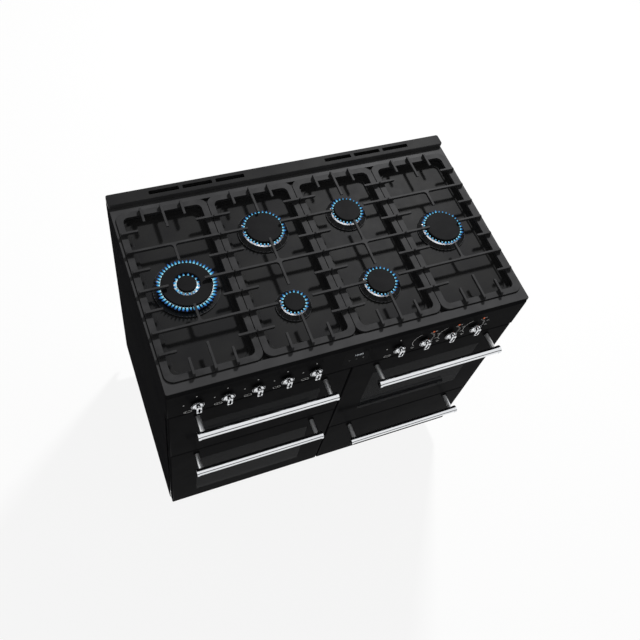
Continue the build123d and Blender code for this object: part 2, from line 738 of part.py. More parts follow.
# Oven doors: outer skin, glass panes, inner liner and handle
for name, x, bottom, top, sill in doors:
    height = top - bottom
    middle = (top + bottom) / 2
    window_height = height - window_top_margin - sill
    window_z = bottom + sill + window_height / 2
    sides, hinge_y, hinge_z = hinge_lines(x, bottom)
    with BuildPart() as skin:
        front_slab(x, y_face, middle, door_width, height, skin_depth)
        fillet(skin.edges().group_by(Axis.Y)[0], radius=skin_round)
        front_slab(x, y_face + skin_front, middle, door_width - 2 * sheet, height - 2 * sheet,
                   skin_depth - skin_front, mode=Mode.SUBTRACT)
        front_slab(x, y_face, window_z, window_width, window_height, skin_front, corner=window_round,
                   mode=Mode.SUBTRACT)
        for side, inward in sides:
            lug = sorted((side, side + inward * hinge_lug))
            block(lug, (y_face + skin_front, y_face + skin_depth), (bottom, hinge_z + hinge_in - sheet))
            bore = sorted((side + inward * sheet, side + inward * hinge_lug))
            side_rod(bore[0], hinge_y, hinge_z, hinge_pin_radius + slip, bore[1] - bore[0],
                     mode=Mode.SUBTRACT)
            arm_start = side + inward * (hinge_lug)
            arm_end = arm_start + inward * (hinge_arm_width + 2 * hinge_arm_gap)
            block(sorted((arm_start, arm_end)), (y_face + skin_front, y_face + skin_depth),
                  (bottom, bottom + sheet), mode=Mode.SUBTRACT)
    skin.part.label = f"{name}_skin"
    export_step(skin.part, f"parts/{name}_skin.step")

    with BuildPart() as liner:
        y_liner = y_face + skin_depth
        liner_z = middle + liner_bottom / 2
        liner_height = height - liner_bottom
        front_slab(x, y_liner, liner_z, door_width, liner_height, sheet)
        front_slab(x, y_liner, liner_z, door_width - 2 * liner_inset, liner_height - 2 * liner_inset,
                   door_depth - skin_depth, corner=liner_inset / 2)
        front_slab(x, y_liner, liner_z, door_width - 2 * liner_inset - 2 * sheet,
                   liner_height - 2 * liner_inset - 2 * sheet, door_depth - skin_depth - sheet,
                   corner=liner_inset / 2 - sheet, mode=Mode.SUBTRACT)
        front_slab(x, y_face + door_depth - sheet, window_z, window_width, window_height, sheet,
                   corner=window_round, mode=Mode.SUBTRACT)
    liner.part.label = f"{name}_liner"
    export_step(liner.part, f"parts/{name}_liner.step")

    with BuildPart() as glass:
        front_slab(x, y_face, window_z, window_width - 2 * fit, window_height - 2 * fit, skin_front,
                   corner=window_round - fit)
        front_slab(x, y_face + door_depth - sheet - skin_front, window_z, window_width + 2 * pane_overlap,
                   window_height + 2 * pane_overlap, skin_front)
    glass.part.label = f"{name}_glass"
    export_step(glass.part, f"parts/{name}_glass.step")

    handle(f"{name}_handle", x, top)

# Door hinges: an arm from the oven's front frame with a pin into the lug of the door
with BuildPart() as door_hinges:
    for name, x, bottom, top, sill in doors:
        sides, hinge_y, hinge_z = hinge_lines(x, bottom)
        for side, inward in sides:
            arm_start = side + inward * (hinge_lug + hinge_arm_gap)
            arm = sorted((arm_start, arm_start + inward * hinge_arm_width))
            side_rod(arm[0], hinge_y, hinge_z, hinge_arm_radius, hinge_arm_width)
            block(arm, (hinge_y, y_frame), (hinge_z - hinge_arm_radius, hinge_z + hinge_arm_radius))
            pin = sorted((side + inward * (sheet + fit), arm_start))
            side_rod(pin[0], hinge_y, hinge_z, hinge_pin_radius, pin[1] - pin[0])
door_hinges.part.label = "door_hinges"
export_step(door_hinges.part, "parts/door_hinges.step")

# Drawer: a plain front like the doors, a folded box behind it, and runners on the base frame
drawer_top = right_split - seam / 2
drawer_middle = (drawer_top + foot_height) / 2
drawer_front_height = drawer_top - foot_height
with BuildPart() as drawer_front:
    front_slab(door_x, y_face, drawer_middle, door_width, drawer_front_height, skin_depth)
    fillet(drawer_front.edges().group_by(Axis.Y)[0], radius=skin_round)
    front_slab(door_x, y_face + skin_front, drawer_middle, door_width - 2 * sheet,
               drawer_front_height - 2 * sheet, skin_depth - skin_front, mode=Mode.SUBTRACT)
drawer_front.part.label = "drawer_front"
export_step(drawer_front.part, "parts/drawer_front.step")

with BuildPart() as drawer_box:
    drawer_floor = runner_top + fit
    box_y = (y_face + skin_depth + sheet, y_face + skin_depth + drawer_length)
    box_x = (door_x - drawer_width / 2, door_x + drawer_width / 2)
    front_slab(door_x, y_face + skin_depth, drawer_middle, door_width, drawer_front_height, sheet)
    block(box_x, box_y, (drawer_floor, drawer_floor + drawer_height))
    block((box_x[0] + sheet, box_x[1] - sheet), (box_y[0], box_y[1] - sheet),
          (drawer_floor + sheet, drawer_floor + drawer_height), mode=Mode.SUBTRACT)
drawer_box.part.label = "drawer_box"
export_step(drawer_box.part, "parts/drawer_box.step")

handle("drawer_handle", door_x, drawer_top)

with BuildPart() as drawer_runners:
    for end, inward in ((box_x[0], 1), (box_x[1], -1)):
        runner_y = (y_frame + 2 * sheet, y_face + skin_depth + drawer_length)
        foot_z = foot_height + sheet
        block(sorted((end, end + inward * sheet)), runner_y, (foot_z, runner_top))
        block(sorted((end, end + inward * runner_flange)), runner_y, (runner_top - sheet, runner_top))
        block(sorted((end, end + inward * runner_flange)), runner_y, (foot_z, foot_z + sheet))
drawer_runners.part.label = "drawer_runners"
export_step(drawer_runners.part, "parts/drawer_runners.step")

# Oven cavities: a front frame, a folded box behind it and two shelf ledges
ovens = []
for (door, x, bottom, top, sill), name in zip(doors, ("grill", "left_oven", "right_oven")):
    rise = grill_shelf_rise if name == "grill" else shelf_rise
    ovens.append((name, x, bottom, top, bottom + oven_bottom_margin, top - oven_top_margin, rise))
y_oven_back = y_frame + oven_length
fan_x = door_x
for name, x, bottom, top, low, high, rise in ovens:
    side = 1 if x > 0 else -1
    frame_x = sorted((side * sheet / 2, side * side_x))
    oven_z = (low + high) / 2
    oven_height = high - low
    with BuildPart() as cavity:
        block(frame_x, (y_frame, y_frame + sheet), (bottom + sheet, top))
        front_slab(x, y_frame, oven_z, oven_width + 2 * sheet, oven_height + 2 * sheet, oven_length + sheet,
                   corner=oven_corner + sheet)
        front_slab(x, y_frame, oven_z, oven_width, oven_height, oven_length, corner=oven_corner,
                   mode=Mode.SUBTRACT)
        for wall, inward in ((x - oven_width / 2, 1), (x + oven_width / 2, -1)):
            block(sorted((wall, wall + inward * shelf_ledge)), (y_frame + sheet, y_oven_back),
                  (low + rise - shelf_ledge_height, low + rise))
        if name == "right_oven":
            front_rod(fan_x, y_oven_back, oven_z, fan_shaft_radius + slip, sheet, mode=Mode.SUBTRACT)
    cavity.part.label = f"{name}_cavity"
    export_step(cavity.part, f"parts/{name}_cavity.step")

# Oven shelves: a wire rack on the ledges of each oven
with BuildPart() as oven_shelves:
    for name, x, bottom, top, low, high, rise in ovens:
        shelf_z = low + rise + shelf_wire
        half = oven_width / 2 - shelf_wire - sheet
        front = y_frame + 2 * oven_corner
        length = y_oven_back - 4 * oven_corner - front
        for y in (front, front + length):
            side_rod(x - half, y, shelf_z, shelf_wire, 2 * half)
        for bar in range(shelf_bars):
            bar_x = x - half + shelf_wire + bar * (2 * half - 2 * shelf_wire) / (shelf_bars - 1)
            front_rod(bar_x, front, shelf_z, shelf_wire, length)
oven_shelves.part.label = "oven_shelves"
export_step(oven_shelves.part, "parts/oven_shelves.step")

# Heating elements: one bent tube under the roof of each oven, held by the back wall
with BuildPart() as oven_elements:
    for name, x, bottom, top, low, high, rise in ovens:
        element_z = high - element_drop
        start = (x - element_width / 2, y_oven_back)
        with BuildLine(Plane.XY.offset(element_z)) as path:
            FilletPolyline(
                start,
                (x - element_width / 2, y_oven_back - element_length),
                (x + element_width / 2, y_oven_back - element_length),
                (x + element_width / 2, y_oven_back),
                radius=element_bend,
            )
        with BuildSketch(Plane(origin=(*start, element_z), x_dir=(1, 0, 0), z_dir=(0, -1, 0))) as section:
            Circle(element_radius)
        sweep(section.sketch, path=path.line)
oven_elements.part.label = "oven_elements"
export_step(oven_elements.part, "parts/oven_elements.step")

# Oven fan at the back of the right oven, and its motor behind the wall
fan_z = (ovens[2][4] + ovens[2][5]) / 2
fan_back = y_oven_back - fan_gap
with BuildPart() as oven_fan:
    front_rod(fan_x, fan_back - sheet, fan_z, fan_radius, sheet)
    front_rod(fan_x, fan_back - fan_depth, fan_z, 2 * fan_shaft_radius, fan_depth)
    front_rod(fan_x, fan_back, fan_z, fan_shaft_radius, fan_gap + motor_length / 2)
    blade_start = 2 * fan_shaft_radius - sheet
    blade_end = fan_radius - fan_rim
    with BuildSketch(front_plane(fan_back - fan_depth)) as blades:
        with Locations((fan_x, fan_z)):
            with PolarLocations((blade_start + blade_end) / 2, fan_blades):
                Rectangle(blade_end - blade_start, sheet)
    extrude(blades.sketch, amount=sheet - fan_depth)
oven_fan.part.label = "oven_fan"
export_step(oven_fan.part, "parts/oven_fan.step")

with BuildPart() as fan_motor:
    front_rod(fan_x, y_oven_back + sheet, fan_z, motor_radius, motor_length)
    chamfer(fan_motor.edges().group_by(Axis.Y)[-1], length=2 * sheet)
    front_rod(fan_x, y_oven_back + sheet, fan_z, fan_shaft_radius + slip, motor_length / 2,
              mode=Mode.SUBTRACT)
fan_motor.part.label = "fan_motor"
export_step(fan_motor.part, "parts/fan_motor.step")
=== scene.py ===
# %% [markdown]
# # Dressing a dual fuel range cooker
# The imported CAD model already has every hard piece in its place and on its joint. In this lesson
# we load it as a fixed frame and give it what CAD leaves plain: enamel, cast iron, chrome and glass,
# eased edges, gas flames, printed scales and the small hardware. Everything is in metres.

# %% Load the frame
import json
import math

import bmesh
import bpy
from mathutils import Matrix, Vector


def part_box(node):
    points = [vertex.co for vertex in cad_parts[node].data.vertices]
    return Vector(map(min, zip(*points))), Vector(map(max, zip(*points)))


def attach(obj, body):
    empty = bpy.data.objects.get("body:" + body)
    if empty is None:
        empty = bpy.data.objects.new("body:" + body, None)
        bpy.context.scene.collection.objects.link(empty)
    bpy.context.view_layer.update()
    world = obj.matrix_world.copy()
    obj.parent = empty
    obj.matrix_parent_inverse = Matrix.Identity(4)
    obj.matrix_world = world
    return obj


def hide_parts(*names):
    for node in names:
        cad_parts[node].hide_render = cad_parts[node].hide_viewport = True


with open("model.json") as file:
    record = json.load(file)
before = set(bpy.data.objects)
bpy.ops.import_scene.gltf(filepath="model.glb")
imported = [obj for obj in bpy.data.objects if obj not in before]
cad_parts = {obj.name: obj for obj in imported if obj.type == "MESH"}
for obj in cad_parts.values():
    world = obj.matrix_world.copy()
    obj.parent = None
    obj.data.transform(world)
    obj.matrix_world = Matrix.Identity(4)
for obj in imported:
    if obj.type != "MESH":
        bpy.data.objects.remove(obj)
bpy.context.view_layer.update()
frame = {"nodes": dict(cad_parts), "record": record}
nodes = frame["nodes"]
scene = bpy.context.scene
scene.view_settings.view_transform = "Standard"
MM = 0.001
X, Y, Z = range(3)

# %% [markdown]
# ## The camera
# The photograph looks down on the hob from the front left, with the camera a little tilted. Fitting
# a camera to the cooker's edges gave its place, three angles and a focal length in pixels of the
# 640 pixel frame. Those numbers go straight into a Blender camera, with no shift.


# %% Camera
def new_object(name, data):
    """A new object in the scene, at the origin."""
    thing = bpy.data.objects.new(name, data)
    scene.collection.objects.link(thing)
    return thing


FRAME_PIXELS = 640
camera_place = Vector((-0.6515, -0.9907, 2.4914))
camera_yaw = math.radians(35.004)
camera_pitch = math.radians(57.905)
camera_roll = math.radians(16.352)
focal_pixels = 744.3

forward = Vector((
    math.sin(camera_yaw) * math.cos(camera_pitch),
    math.cos(camera_yaw) * math.cos(camera_pitch),
    -math.sin(camera_pitch),
))
level_right = Vector((math.cos(camera_yaw), -math.sin(camera_yaw), 0.0))
level_up = level_right.cross(forward)
right = math.cos(camera_roll) * level_right + math.sin(camera_roll) * level_up
up = math.cos(camera_roll) * level_up - math.sin(camera_roll) * level_right
camera_data = bpy.data.cameras.new("photo_camera")
camera_data.sensor_width = 36.0
camera_data.lens = focal_pixels / FRAME_PIXELS * camera_data.sensor_width
camera = new_object("photo_camera", camera_data)
camera.matrix_world = Matrix.Translation(camera_place) @ Matrix((right, up, -forward)).transposed().to_4x4()
scene.camera = camera
print("camera lens:", round(camera_data.lens, 2), "mm")

# %% [markdown]
# ## Node helpers
# Every material and every geometry tree below is built with one small function that adds a node,
# sets it and links its inputs. Colours are written as sRGB hex and turned to linear values, and
# pattern sizes are given in millimetres, because Object coordinates are in metres.


# %% Helpers for nodes
def linear(hex_code):
    """Linear RGBA of an sRGB hex colour."""
    channels = [int(hex_code[i:i + 2], 16) / 255 for i in (1, 3, 5)]
    return (*[c / 12.92 if c <= 0.04045 else ((c + 0.055) / 1.055) ** 2.4 for c in channels], 1.0)


def per_size(millimetres):
    """The texture scale at which one cell of a pattern is this many millimetres wide."""
    return 1 / (millimetres * MM)


def add_node(tree, kind, settings=None, links=None):
    """Adds a node, sets its properties or inputs, and links its inputs from other sockets."""
    node = tree.nodes.new(kind)
    for name, value in (settings or {}).items():
        if isinstance(name, str) and hasattr(node, name):
            setattr(node, name, value)
        else:
            node.inputs[name].default_value = value
    for name, source in (links or {}).items():
        tree.links.new(source, node.inputs[name])
    return node


def start_material(name, sockets):
    """A new Principled material with these sockets set: its tree, its shader and its Object coordinates."""
    material = bpy.data.materials.new(name)
    material.use_nodes = True
    tree = material.node_tree
    shader = tree.nodes["Principled BSDF"]
    for socket, value in sockets.items():
        shader.inputs[socket].default_value = value
    place = add_node(tree, "ShaderNodeTexCoord").outputs["Object"]
    return material, tree, shader, place


print("helpers ready")

# %% [markdown]
# ## Enamels
# The hob, the sides and the doors are steel sheet with fired vitreous enamel. It is glass, so it has
# a faint orange-peel ripple and a shade that drifts a little over a large panel. The hob is satin,
# the fascia and the doors are glossy, and the burner caps are fired matt and grainy. The clock's smoked
# glass takes the same recipe with hardly a ripple. The index of refraction is set well under that of
# glass, because the front stays nearly black in a white studio.


# %% Enamel materials
def enamel(name, dark, pale, ior, roughness, spread, peel_mm, peel):
    """Vitreous enamel: a shade that drifts, uneven gloss and an orange-peel ripple."""
    material, tree, shader, place = start_material(name, {"IOR": ior})
    drift = add_node(tree, "ShaderNodeTexNoise", {"Scale": per_size(90), "Detail": 3.0}, {"Vector": place})
    shade = add_node(tree, "ShaderNodeValToRGB", links={"Fac": drift.outputs["Fac"]})
    shade.color_ramp.elements[0].position = 0.35
    shade.color_ramp.elements[0].color = linear(dark)
    shade.color_ramp.elements[1].position = 0.65
    shade.color_ramp.elements[1].color = linear(pale)
    tree.links.new(shade.outputs["Color"], shader.inputs["Base Color"])
    gloss = add_node(tree, "ShaderNodeTexNoise", {"Scale": per_size(25), "Detail": 2.0}, {"Vector": place})
    rough = add_node(tree, "ShaderNodeMapRange", {"To Min": roughness - spread, "To Max": roughness + spread},
                     {"Value": gloss.outputs["Fac"]})
    tree.links.new(rough.outputs["Result"], shader.inputs["Roughness"])
    ripple = add_node(tree, "ShaderNodeTexNoise", {"Scale": per_size(peel_mm), "Detail": 2.0},
                      {"Vector": place})
    bump = add_node(tree, "ShaderNodeBump", {"Strength": peel, "Distance": 0.2 * MM},
                    {"Height": ripple.outputs["Fac"]})
    tree.links.new(bump.outputs["Normal"], shader.inputs["Normal"])
    return material


satin_enamel = enamel("satin_enamel", "#242425", "#292929", 1.08, 0.42, 0.05, 3.0, 0.12)
side_enamel = enamel("side_enamel", "#18181a", "#1c1c1d", 1.005, 0.60, 0.05, 3.0, 0.10)
gloss_enamel = enamel("gloss_enamel", "#1b1b1c", "#202021", 1.02, 0.10, 0.03, 4.0, 0.05)
cap_enamel = enamel("matt_cap_enamel", "#161617", "#1c1c1d", 1.1, 0.62, 0.06, 1.2, 0.35)
cup_enamel = enamel("burner_cup_enamel", "#0c0c0d", "#111112", 1.2, 0.35, 0.06, 2.0, 0.2)
clock_glaze = enamel("smoked_clock_glass", "#161617", "#19191a", 1.03, 0.06, 0.02, 40.0, 0.01)
# A paler copy of the hob's enamel that carries painted light: on the rim's top, the upstand's front, the
# burner ribs and the rings round the burner bases.
painted_light_enamel = enamel("enamel_with_painted_light", "#3b3b3c", "#424243", 1.08, 0.36, 0.04, 3.0, 0.08)
print("enamels made:", 7)

# %% [markdown]
# ## Cast iron
# The pan supports are sand-cast iron under a matt enamel. The sand leaves grains of about a
# millimetre, and the enamel is thinner and a little paler on raised spots, so one noise drives the
# bump and another the shade.

# %% Cast iron material
cast_iron, tree, shader, place = start_material("enamelled_cast_iron", {"IOR": 1.15})
sand = add_node(tree, "ShaderNodeTexNoise", {"Scale": per_size(1.6), "Detail": 4.0, "Roughness": 0.6},
                {"Vector": place})
patches = add_node(tree, "ShaderNodeTexNoise", {"Scale": per_size(30), "Detail": 3.0}, {"Vector": place})
shade = add_node(tree, "ShaderNodeValToRGB", links={"Fac": patches.outputs["Fac"]})
shade.color_ramp.elements[0].position = 0.3
shade.color_ramp.elements[0].color = linear("#2b2b2c")
shade.color_ramp.elements[1].position = 0.7
shade.color_ramp.elements[1].color = linear("#363637")
tree.links.new(shade.outputs["Color"], shader.inputs["Base Color"])
dull = add_node(tree, "ShaderNodeMapRange", {"To Min": 0.46, "To Max": 0.64}, {"Value": sand.outputs["Fac"]})
tree.links.new(dull.outputs["Result"], shader.inputs["Roughness"])
grain = add_node(tree, "ShaderNodeBump", {"Strength": 0.4, "Distance": 0.25 * MM},
                 {"Height": sand.outputs["Fac"]})
tree.links.new(grain.outputs["Normal"], shader.inputs["Normal"])
print("cast iron made")

# %% [markdown]
# ## Bare metals
# Handles and knobs are polished chrome, the burner crowns are machined aluminium, shelves and hinges
# are drawn steel, the hidden sheet is galvanised, and the taps are brass. They share one recipe: a
# metal whose roughness is stretched along a direction, as polishing and drawing leave it. The real
# marks are much finer than these, which are as coarse as they need to be to show.


# %% Metal materials
def bare_metal(name, dark, pale, roughness, spread, streak_mm, stretch, bump):
    """A metal with fine marks, longer along one axis by stretch."""
    material, tree, shader, place = start_material(name, {"Metallic": 1.0})
    along = add_node(tree, "ShaderNodeMapping", {"Scale": stretch}, {"Vector": place})
    marks = add_node(tree, "ShaderNodeTexNoise", {"Scale": per_size(streak_mm), "Detail": 3.0},
                     {"Vector": along.outputs["Vector"]})
    shade = add_node(tree, "ShaderNodeValToRGB", links={"Fac": marks.outputs["Fac"]})
    shade.color_ramp.elements[0].position = 0.3
    shade.color_ramp.elements[0].color = linear(dark)
    shade.color_ramp.elements[1].position = 0.7
    shade.color_ramp.elements[1].color = linear(pale)
    tree.links.new(shade.outputs["Color"], shader.inputs["Base Color"])
    rough = add_node(tree, "ShaderNodeMapRange", {"To Min": roughness - spread, "To Max": roughness + spread},
                     {"Value": marks.outputs["Fac"]})
    tree.links.new(rough.outputs["Result"], shader.inputs["Roughness"])
    height = add_node(tree, "ShaderNodeBump", {"Strength": bump, "Distance": 0.1 * MM},
                      {"Height": marks.outputs["Fac"]})
    tree.links.new(height.outputs["Normal"], shader.inputs["Normal"])
    return material


polished_chrome = bare_metal("polished_chrome", "#dcdee1", "#eaecee", 0.07, 0.03, 12, (0.1, 1, 1), 0.01)
machined_aluminium = bare_metal("machined_aluminium", "#d0d3d6", "#e4e6e9", 0.28, 0.06, 4, (1, 1, 6), 0.10)
drawn_steel = bare_metal("drawn_steel", "#7d8083", "#9b9ea1", 0.28, 0.08, 5, (0.1, 1, 1), 0.08)
tap_brass = bare_metal("machined_brass", "#a8894a", "#c3a463", 0.25, 0.06, 4, (1, 0.2, 1), 0.06)
drawn_aluminium = bare_metal("drawn_aluminium", "#9a9d9f", "#b4b7b9", 0.30, 0.06, 6, (0.1, 1, 1), 0.05)
satin_chrome = bare_metal("satin_chrome", "#dcdee0", "#ecedee", 0.34, 0.05, 6, (1, 0.1, 1), 0.03)
element_steel = bare_metal("heat_stained_steel", "#3a3634", "#565250", 0.40, 0.08, 20, (1, 1, 1), 0.05)
print("metals made:", 7)

# %% [markdown]
# Galvanised sheet is zinc that froze in flat crystals of some ten millimetres, each a little darker or
# brighter than the next. Voronoi cells give that spangle: one random value per cell sets the shade and
# the gloss.

# %% Galvanised sheet
galvanised_steel, tree, shader, place = start_material("galvanised_steel", {"Metallic": 1.0})
spangle = add_node(tree, "ShaderNodeTexVoronoi", {"Scale": per_size(11)}, {"Vector": place})
shade = add_node(tree, "ShaderNodeValToRGB", links={"Fac": spangle.outputs["Color"]})
shade.color_ramp.elements[0].position = 0.1
shade.color_ramp.elements[0].color = linear("#85898c")
shade.color_ramp.elements[1].position = 0.9
shade.color_ramp.elements[1].color = linear("#9a9ea1")
tree.links.new(shade.outputs["Color"], shader.inputs["Base Color"])
zinc = add_node(tree, "ShaderNodeMapRange", {"To Min": 0.38, "To Max": 0.52},
                {"Value": spangle.outputs["Color"]})
tree.links.new(zinc.outputs["Result"], shader.inputs["Roughness"])
print("galvanised sheet made")

# %% [markdown]
# ## Glass, plastic, rubber and oven lining
# The door windows are tinted toughened glass, the switch bodies are moulded plastic with a fine
# spark-eroded grain, drawn coarser than it is, the feet are rubber, the door seals are silicone, the
# spark electrodes are glazed ceramic, and the ovens are lined with grey speckled enamel.

# %% Glass, plastic, rubber and lining
tinted_glass, tree, shader, place = start_material("tinted_toughened_glass", {
    "Base Color": linear("#2e2f31"), "IOR": 1.04, "Transmission Weight": 0.55,
})
smear = add_node(tree, "ShaderNodeTexNoise", {"Scale": per_size(60), "Detail": 2.0}, {"Vector": place})
clean = add_node(tree, "ShaderNodeMapRange", {"To Min": 0.02, "To Max": 0.06},
                 {"Value": smear.outputs["Fac"]})
tree.links.new(clean.outputs["Result"], shader.inputs["Roughness"])


def grained(name, dark, pale, roughness, grain_mm, strength, ior=1.45):
    """A moulded or speckled surface: a grain that shows in the shade and in the bump."""
    material, tree, shader, place = start_material(name, {"IOR": ior, "Roughness": roughness})
    grain = add_node(tree, "ShaderNodeTexVoronoi", {"Scale": per_size(grain_mm)}, {"Vector": place})
    shade = add_node(tree, "ShaderNodeValToRGB", links={"Fac": grain.outputs["Distance"]})
    shade.color_ramp.elements[0].position = 0.12
    shade.color_ramp.elements[0].color = linear(pale)
    shade.color_ramp.elements[1].position = 0.22
    shade.color_ramp.elements[1].color = linear(dark)
    tree.links.new(shade.outputs["Color"], shader.inputs["Base Color"])
    bump = add_node(tree, "ShaderNodeBump", {"Strength": strength, "Distance": 0.1 * MM},
                    {"Height": grain.outputs["Distance"]})
    tree.links.new(bump.outputs["Normal"], shader.inputs["Normal"])
    return material


oven_lining = grained("speckled_oven_enamel", "#1d1e21", "#77797d", 0.30, 5, 0.05)
moulded_plastic = grained("moulded_black_plastic", "#161617", "#1d1d1e", 0.50, 1.5, 0.2)
foot_rubber = grained("foot_rubber", "#1a1a1a", "#222222", 0.75, 2.0, 0.3)
seal_rubber = grained("door_seal_silicone", "#2b2c2e", "#343537", 0.6, 2.0, 0.3)
spark_ceramic = grained("glazed_spark_ceramic", "#c9c6be", "#dad7cf", 0.25, 3.0, 0.05)
print("glass and moulded materials made:", 6)

# %% [markdown]
# ## Printed marks, lamps and flames
# White ink, the amber lamps and the clock's digits are small and bright. Ink has a slight grain, and
# the lamps and digits give a little light of their own. A gas flame is pale at the port and deep
# blue at the tip, so its colour follows an attribute that each flame tongue carries.


# %% Ink, lamps and flame
def lamp(name, dark, pale, glow, strength):
    """A small bright surface with an uneven shade and a light of its own."""
    material, tree, shader, place = start_material(name, {
        "Roughness": 0.4, "Emission Color": linear(glow), "Emission Strength": strength,
    })
    uneven = add_node(tree, "ShaderNodeTexNoise", {"Scale": per_size(1.5), "Detail": 1.0}, {"Vector": place})
    shade = add_node(tree, "ShaderNodeValToRGB", links={"Fac": uneven.outputs["Fac"]})
    shade.color_ramp.elements[0].color = linear(dark)
    shade.color_ramp.elements[1].color = linear(pale)
    tree.links.new(shade.outputs["Color"], shader.inputs["Base Color"])
    return material


white_ink = lamp("white_print", "#c4c4c2", "#e4e4e2", "#ffffff", 0.0)
grey_ink = lamp("grey_print", "#8a8a89", "#a5a5a4", "#ffffff", 0.0)
amber_lamp = lamp("amber_lamp", "#a8420f", "#d2601c", "#ff6a1a", 0.3)
clock_light = lamp("clock_digits", "#9fa3a6", "#c8ccd0", "#dfe6ee", 0.35)

gas_flame, tree, shader, place = start_material("gas_flame", {
    "Base Color": linear("#02060f"), "Roughness": 1.0, "Emission Strength": 1.0,
})
along = add_node(tree, "ShaderNodeAttribute", {"attribute_name": "along"})
heat = add_node(tree, "ShaderNodeValToRGB", links={"Fac": along.outputs["Fac"]})
heat.color_ramp.elements[0].position = 0.12
heat.color_ramp.elements[0].color = linear("#b8e6f2")
heat.color_ramp.elements[1].position = 1.0
heat.color_ramp.elements[1].color = linear("#1a2258")
for position, colour in ((0.3, "#66c4e2"), (0.52, "#3797cc"), (0.74, "#225ca8")):
    heat.color_ramp.elements.new(position).color = linear(colour)
tree.links.new(heat.outputs["Color"], shader.inputs["Emission Color"])
print("ink, lamps and flame made")

# %% [markdown]
# ## A finish for every CAD node
# The nodes keep their shapes and get their finishes by name. The pieces that are turned, folded or
# cast are shown by copies: the CAD mesh is loose triangles, so a copy is merged, made smooth on its
# curved faces, and has its edges eased by a small bevel, as polishing or casting leaves them.

# %% Finishes by node
finishes = {
    satin_enamel: ["hob_top", "rear_upstand"],
    side_enamel: ["left_side_panel", "right_side_panel"],
    gloss_enamel: ["control_panel", "drawer_front"],
    cast_iron: [f"pan_support_{i}" for i in range(1, 5)],
    cap_enamel: ["burner_caps"],
    cup_enamel: ["burner_cups"],
    machined_aluminium: ["burner_crowns"],
    spark_ceramic: ["burner_electrodes"],
    drawn_steel: ["door_hinges", "oven_shelves", "oven_fan"],
    element_steel: ["oven_elements"],
    galvanised_steel: ["base_frame", "rear_panel", "centre_wall", "drawer_box", "drawer_runners"],
    tap_brass: ["gas_taps"],
    drawn_aluminium: ["gas_rail"],
    moulded_plastic: ["oven_switches", "fan_motor"],
    foot_rubber: ["levelling_feet"],
    tinted_glass: [],
    clock_glaze: ["clock_glass"],
    oven_lining: ["grill_cavity", "left_oven_cavity", "right_oven_cavity"],
    polished_chrome: ["drawer_handle"],
}
doors = ("grill_door", "left_oven_door", "right_oven_door")
for door in doors:
    finishes[gloss_enamel].append(f"{door}_skin")
    finishes[tinted_glass].append(f"{door}_glass")
    finishes[oven_lining].append(f"{door}_liner")
    finishes[polished_chrome].append(f"{door}_handle")
gas_knobs = [f"gas_knob_{i}" for i in range(1, 7)]
oven_knobs = [f"oven_knob_{i}" for i in range(1, 4)]
finishes[polished_chrome] += gas_knobs + oven_knobs
finishes[drawn_steel] += [f"tap_spindle_{i}" for i in range(1, 7)]
finish_of = {node: material for material, members in finishes.items() for node in members}
for node, thing in nodes.items():
    thing.data.materials.clear()
    thing.data.materials.append(finish_of[node])
body_of = {node: body for body, members in frame["record"]["behaviour"]["bodies"].items() for node in members}
slot_of = {row["node"]: row["material_slot"] for row in frame["record"]["subparts"]}
print("finished nodes:", len(finish_of))

# %% Helpers for eased copies
SHARP_ANGLE = math.radians(32)
MERGE_DISTANCE = 0.002 * MM
FLAT_ANGLE = math.radians(1)


def settle(piece, body):
    """Puts a finished piece on a CAD body."""
    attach(piece, body)


def as_plain_mesh(piece):
    """Replaces a piece's mesh by what its modifiers make of it."""
    bpy.context.view_layer.update()
    shown = piece.evaluated_get(bpy.context.evaluated_depsgraph_get())
    made = bpy.data.meshes.new_from_object(shown)
    piece.modifiers.clear()
    piece.data = made


def crisp(work):
    """Makes a mesh smooth, apart from its sharp edges."""
    for face in work.faces:
        face.smooth = True
    for edge in work.edges:
        edge.smooth = edge.calc_face_angle(math.pi) < SHARP_ANGLE


def eased_copy(node, edge_mm):
    """A merged, smooth copy of a CAD node with its edges eased by edge_mm, shown in its place."""
    source = nodes[node].data
    mesh = bpy.data.meshes.new(f"{node}_eased")
    mesh.from_pydata([v.co for v in source.vertices], [], [list(p.vertices) for p in source.polygons])
    work = bmesh.new()
    work.from_mesh(mesh)
    bmesh.ops.remove_doubles(work, verts=work.verts, dist=MERGE_DISTANCE)
    bmesh.ops.dissolve_limit(work, angle_limit=FLAT_ANGLE, verts=work.verts, edges=work.edges)
    crisp(work)
    work.to_mesh(mesh)
    work.free()
    mesh.materials.append(finish_of[node])
    piece = new_object(f"{node}_eased", mesh)
    if edge_mm > 0:
        bevel = piece.modifiers.new("ease", "BEVEL")
        bevel.width = edge_mm * MM
        bevel.segments = 2
        bevel.limit_method = "ANGLE"
        bevel.angle_limit = SHARP_ANGLE
        bevel.use_clamp_overlap = True
    weight = piece.modifiers.new("flat_faces", "WEIGHTED_NORMAL")
    weight.keep_sharp = True
    as_plain_mesh(piece)
    settle(piece, body_of[node])
    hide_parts(node)
    return piece


print("sharp edges turn by more than", round(math.degrees(SHARP_ANGLE)), "degrees")

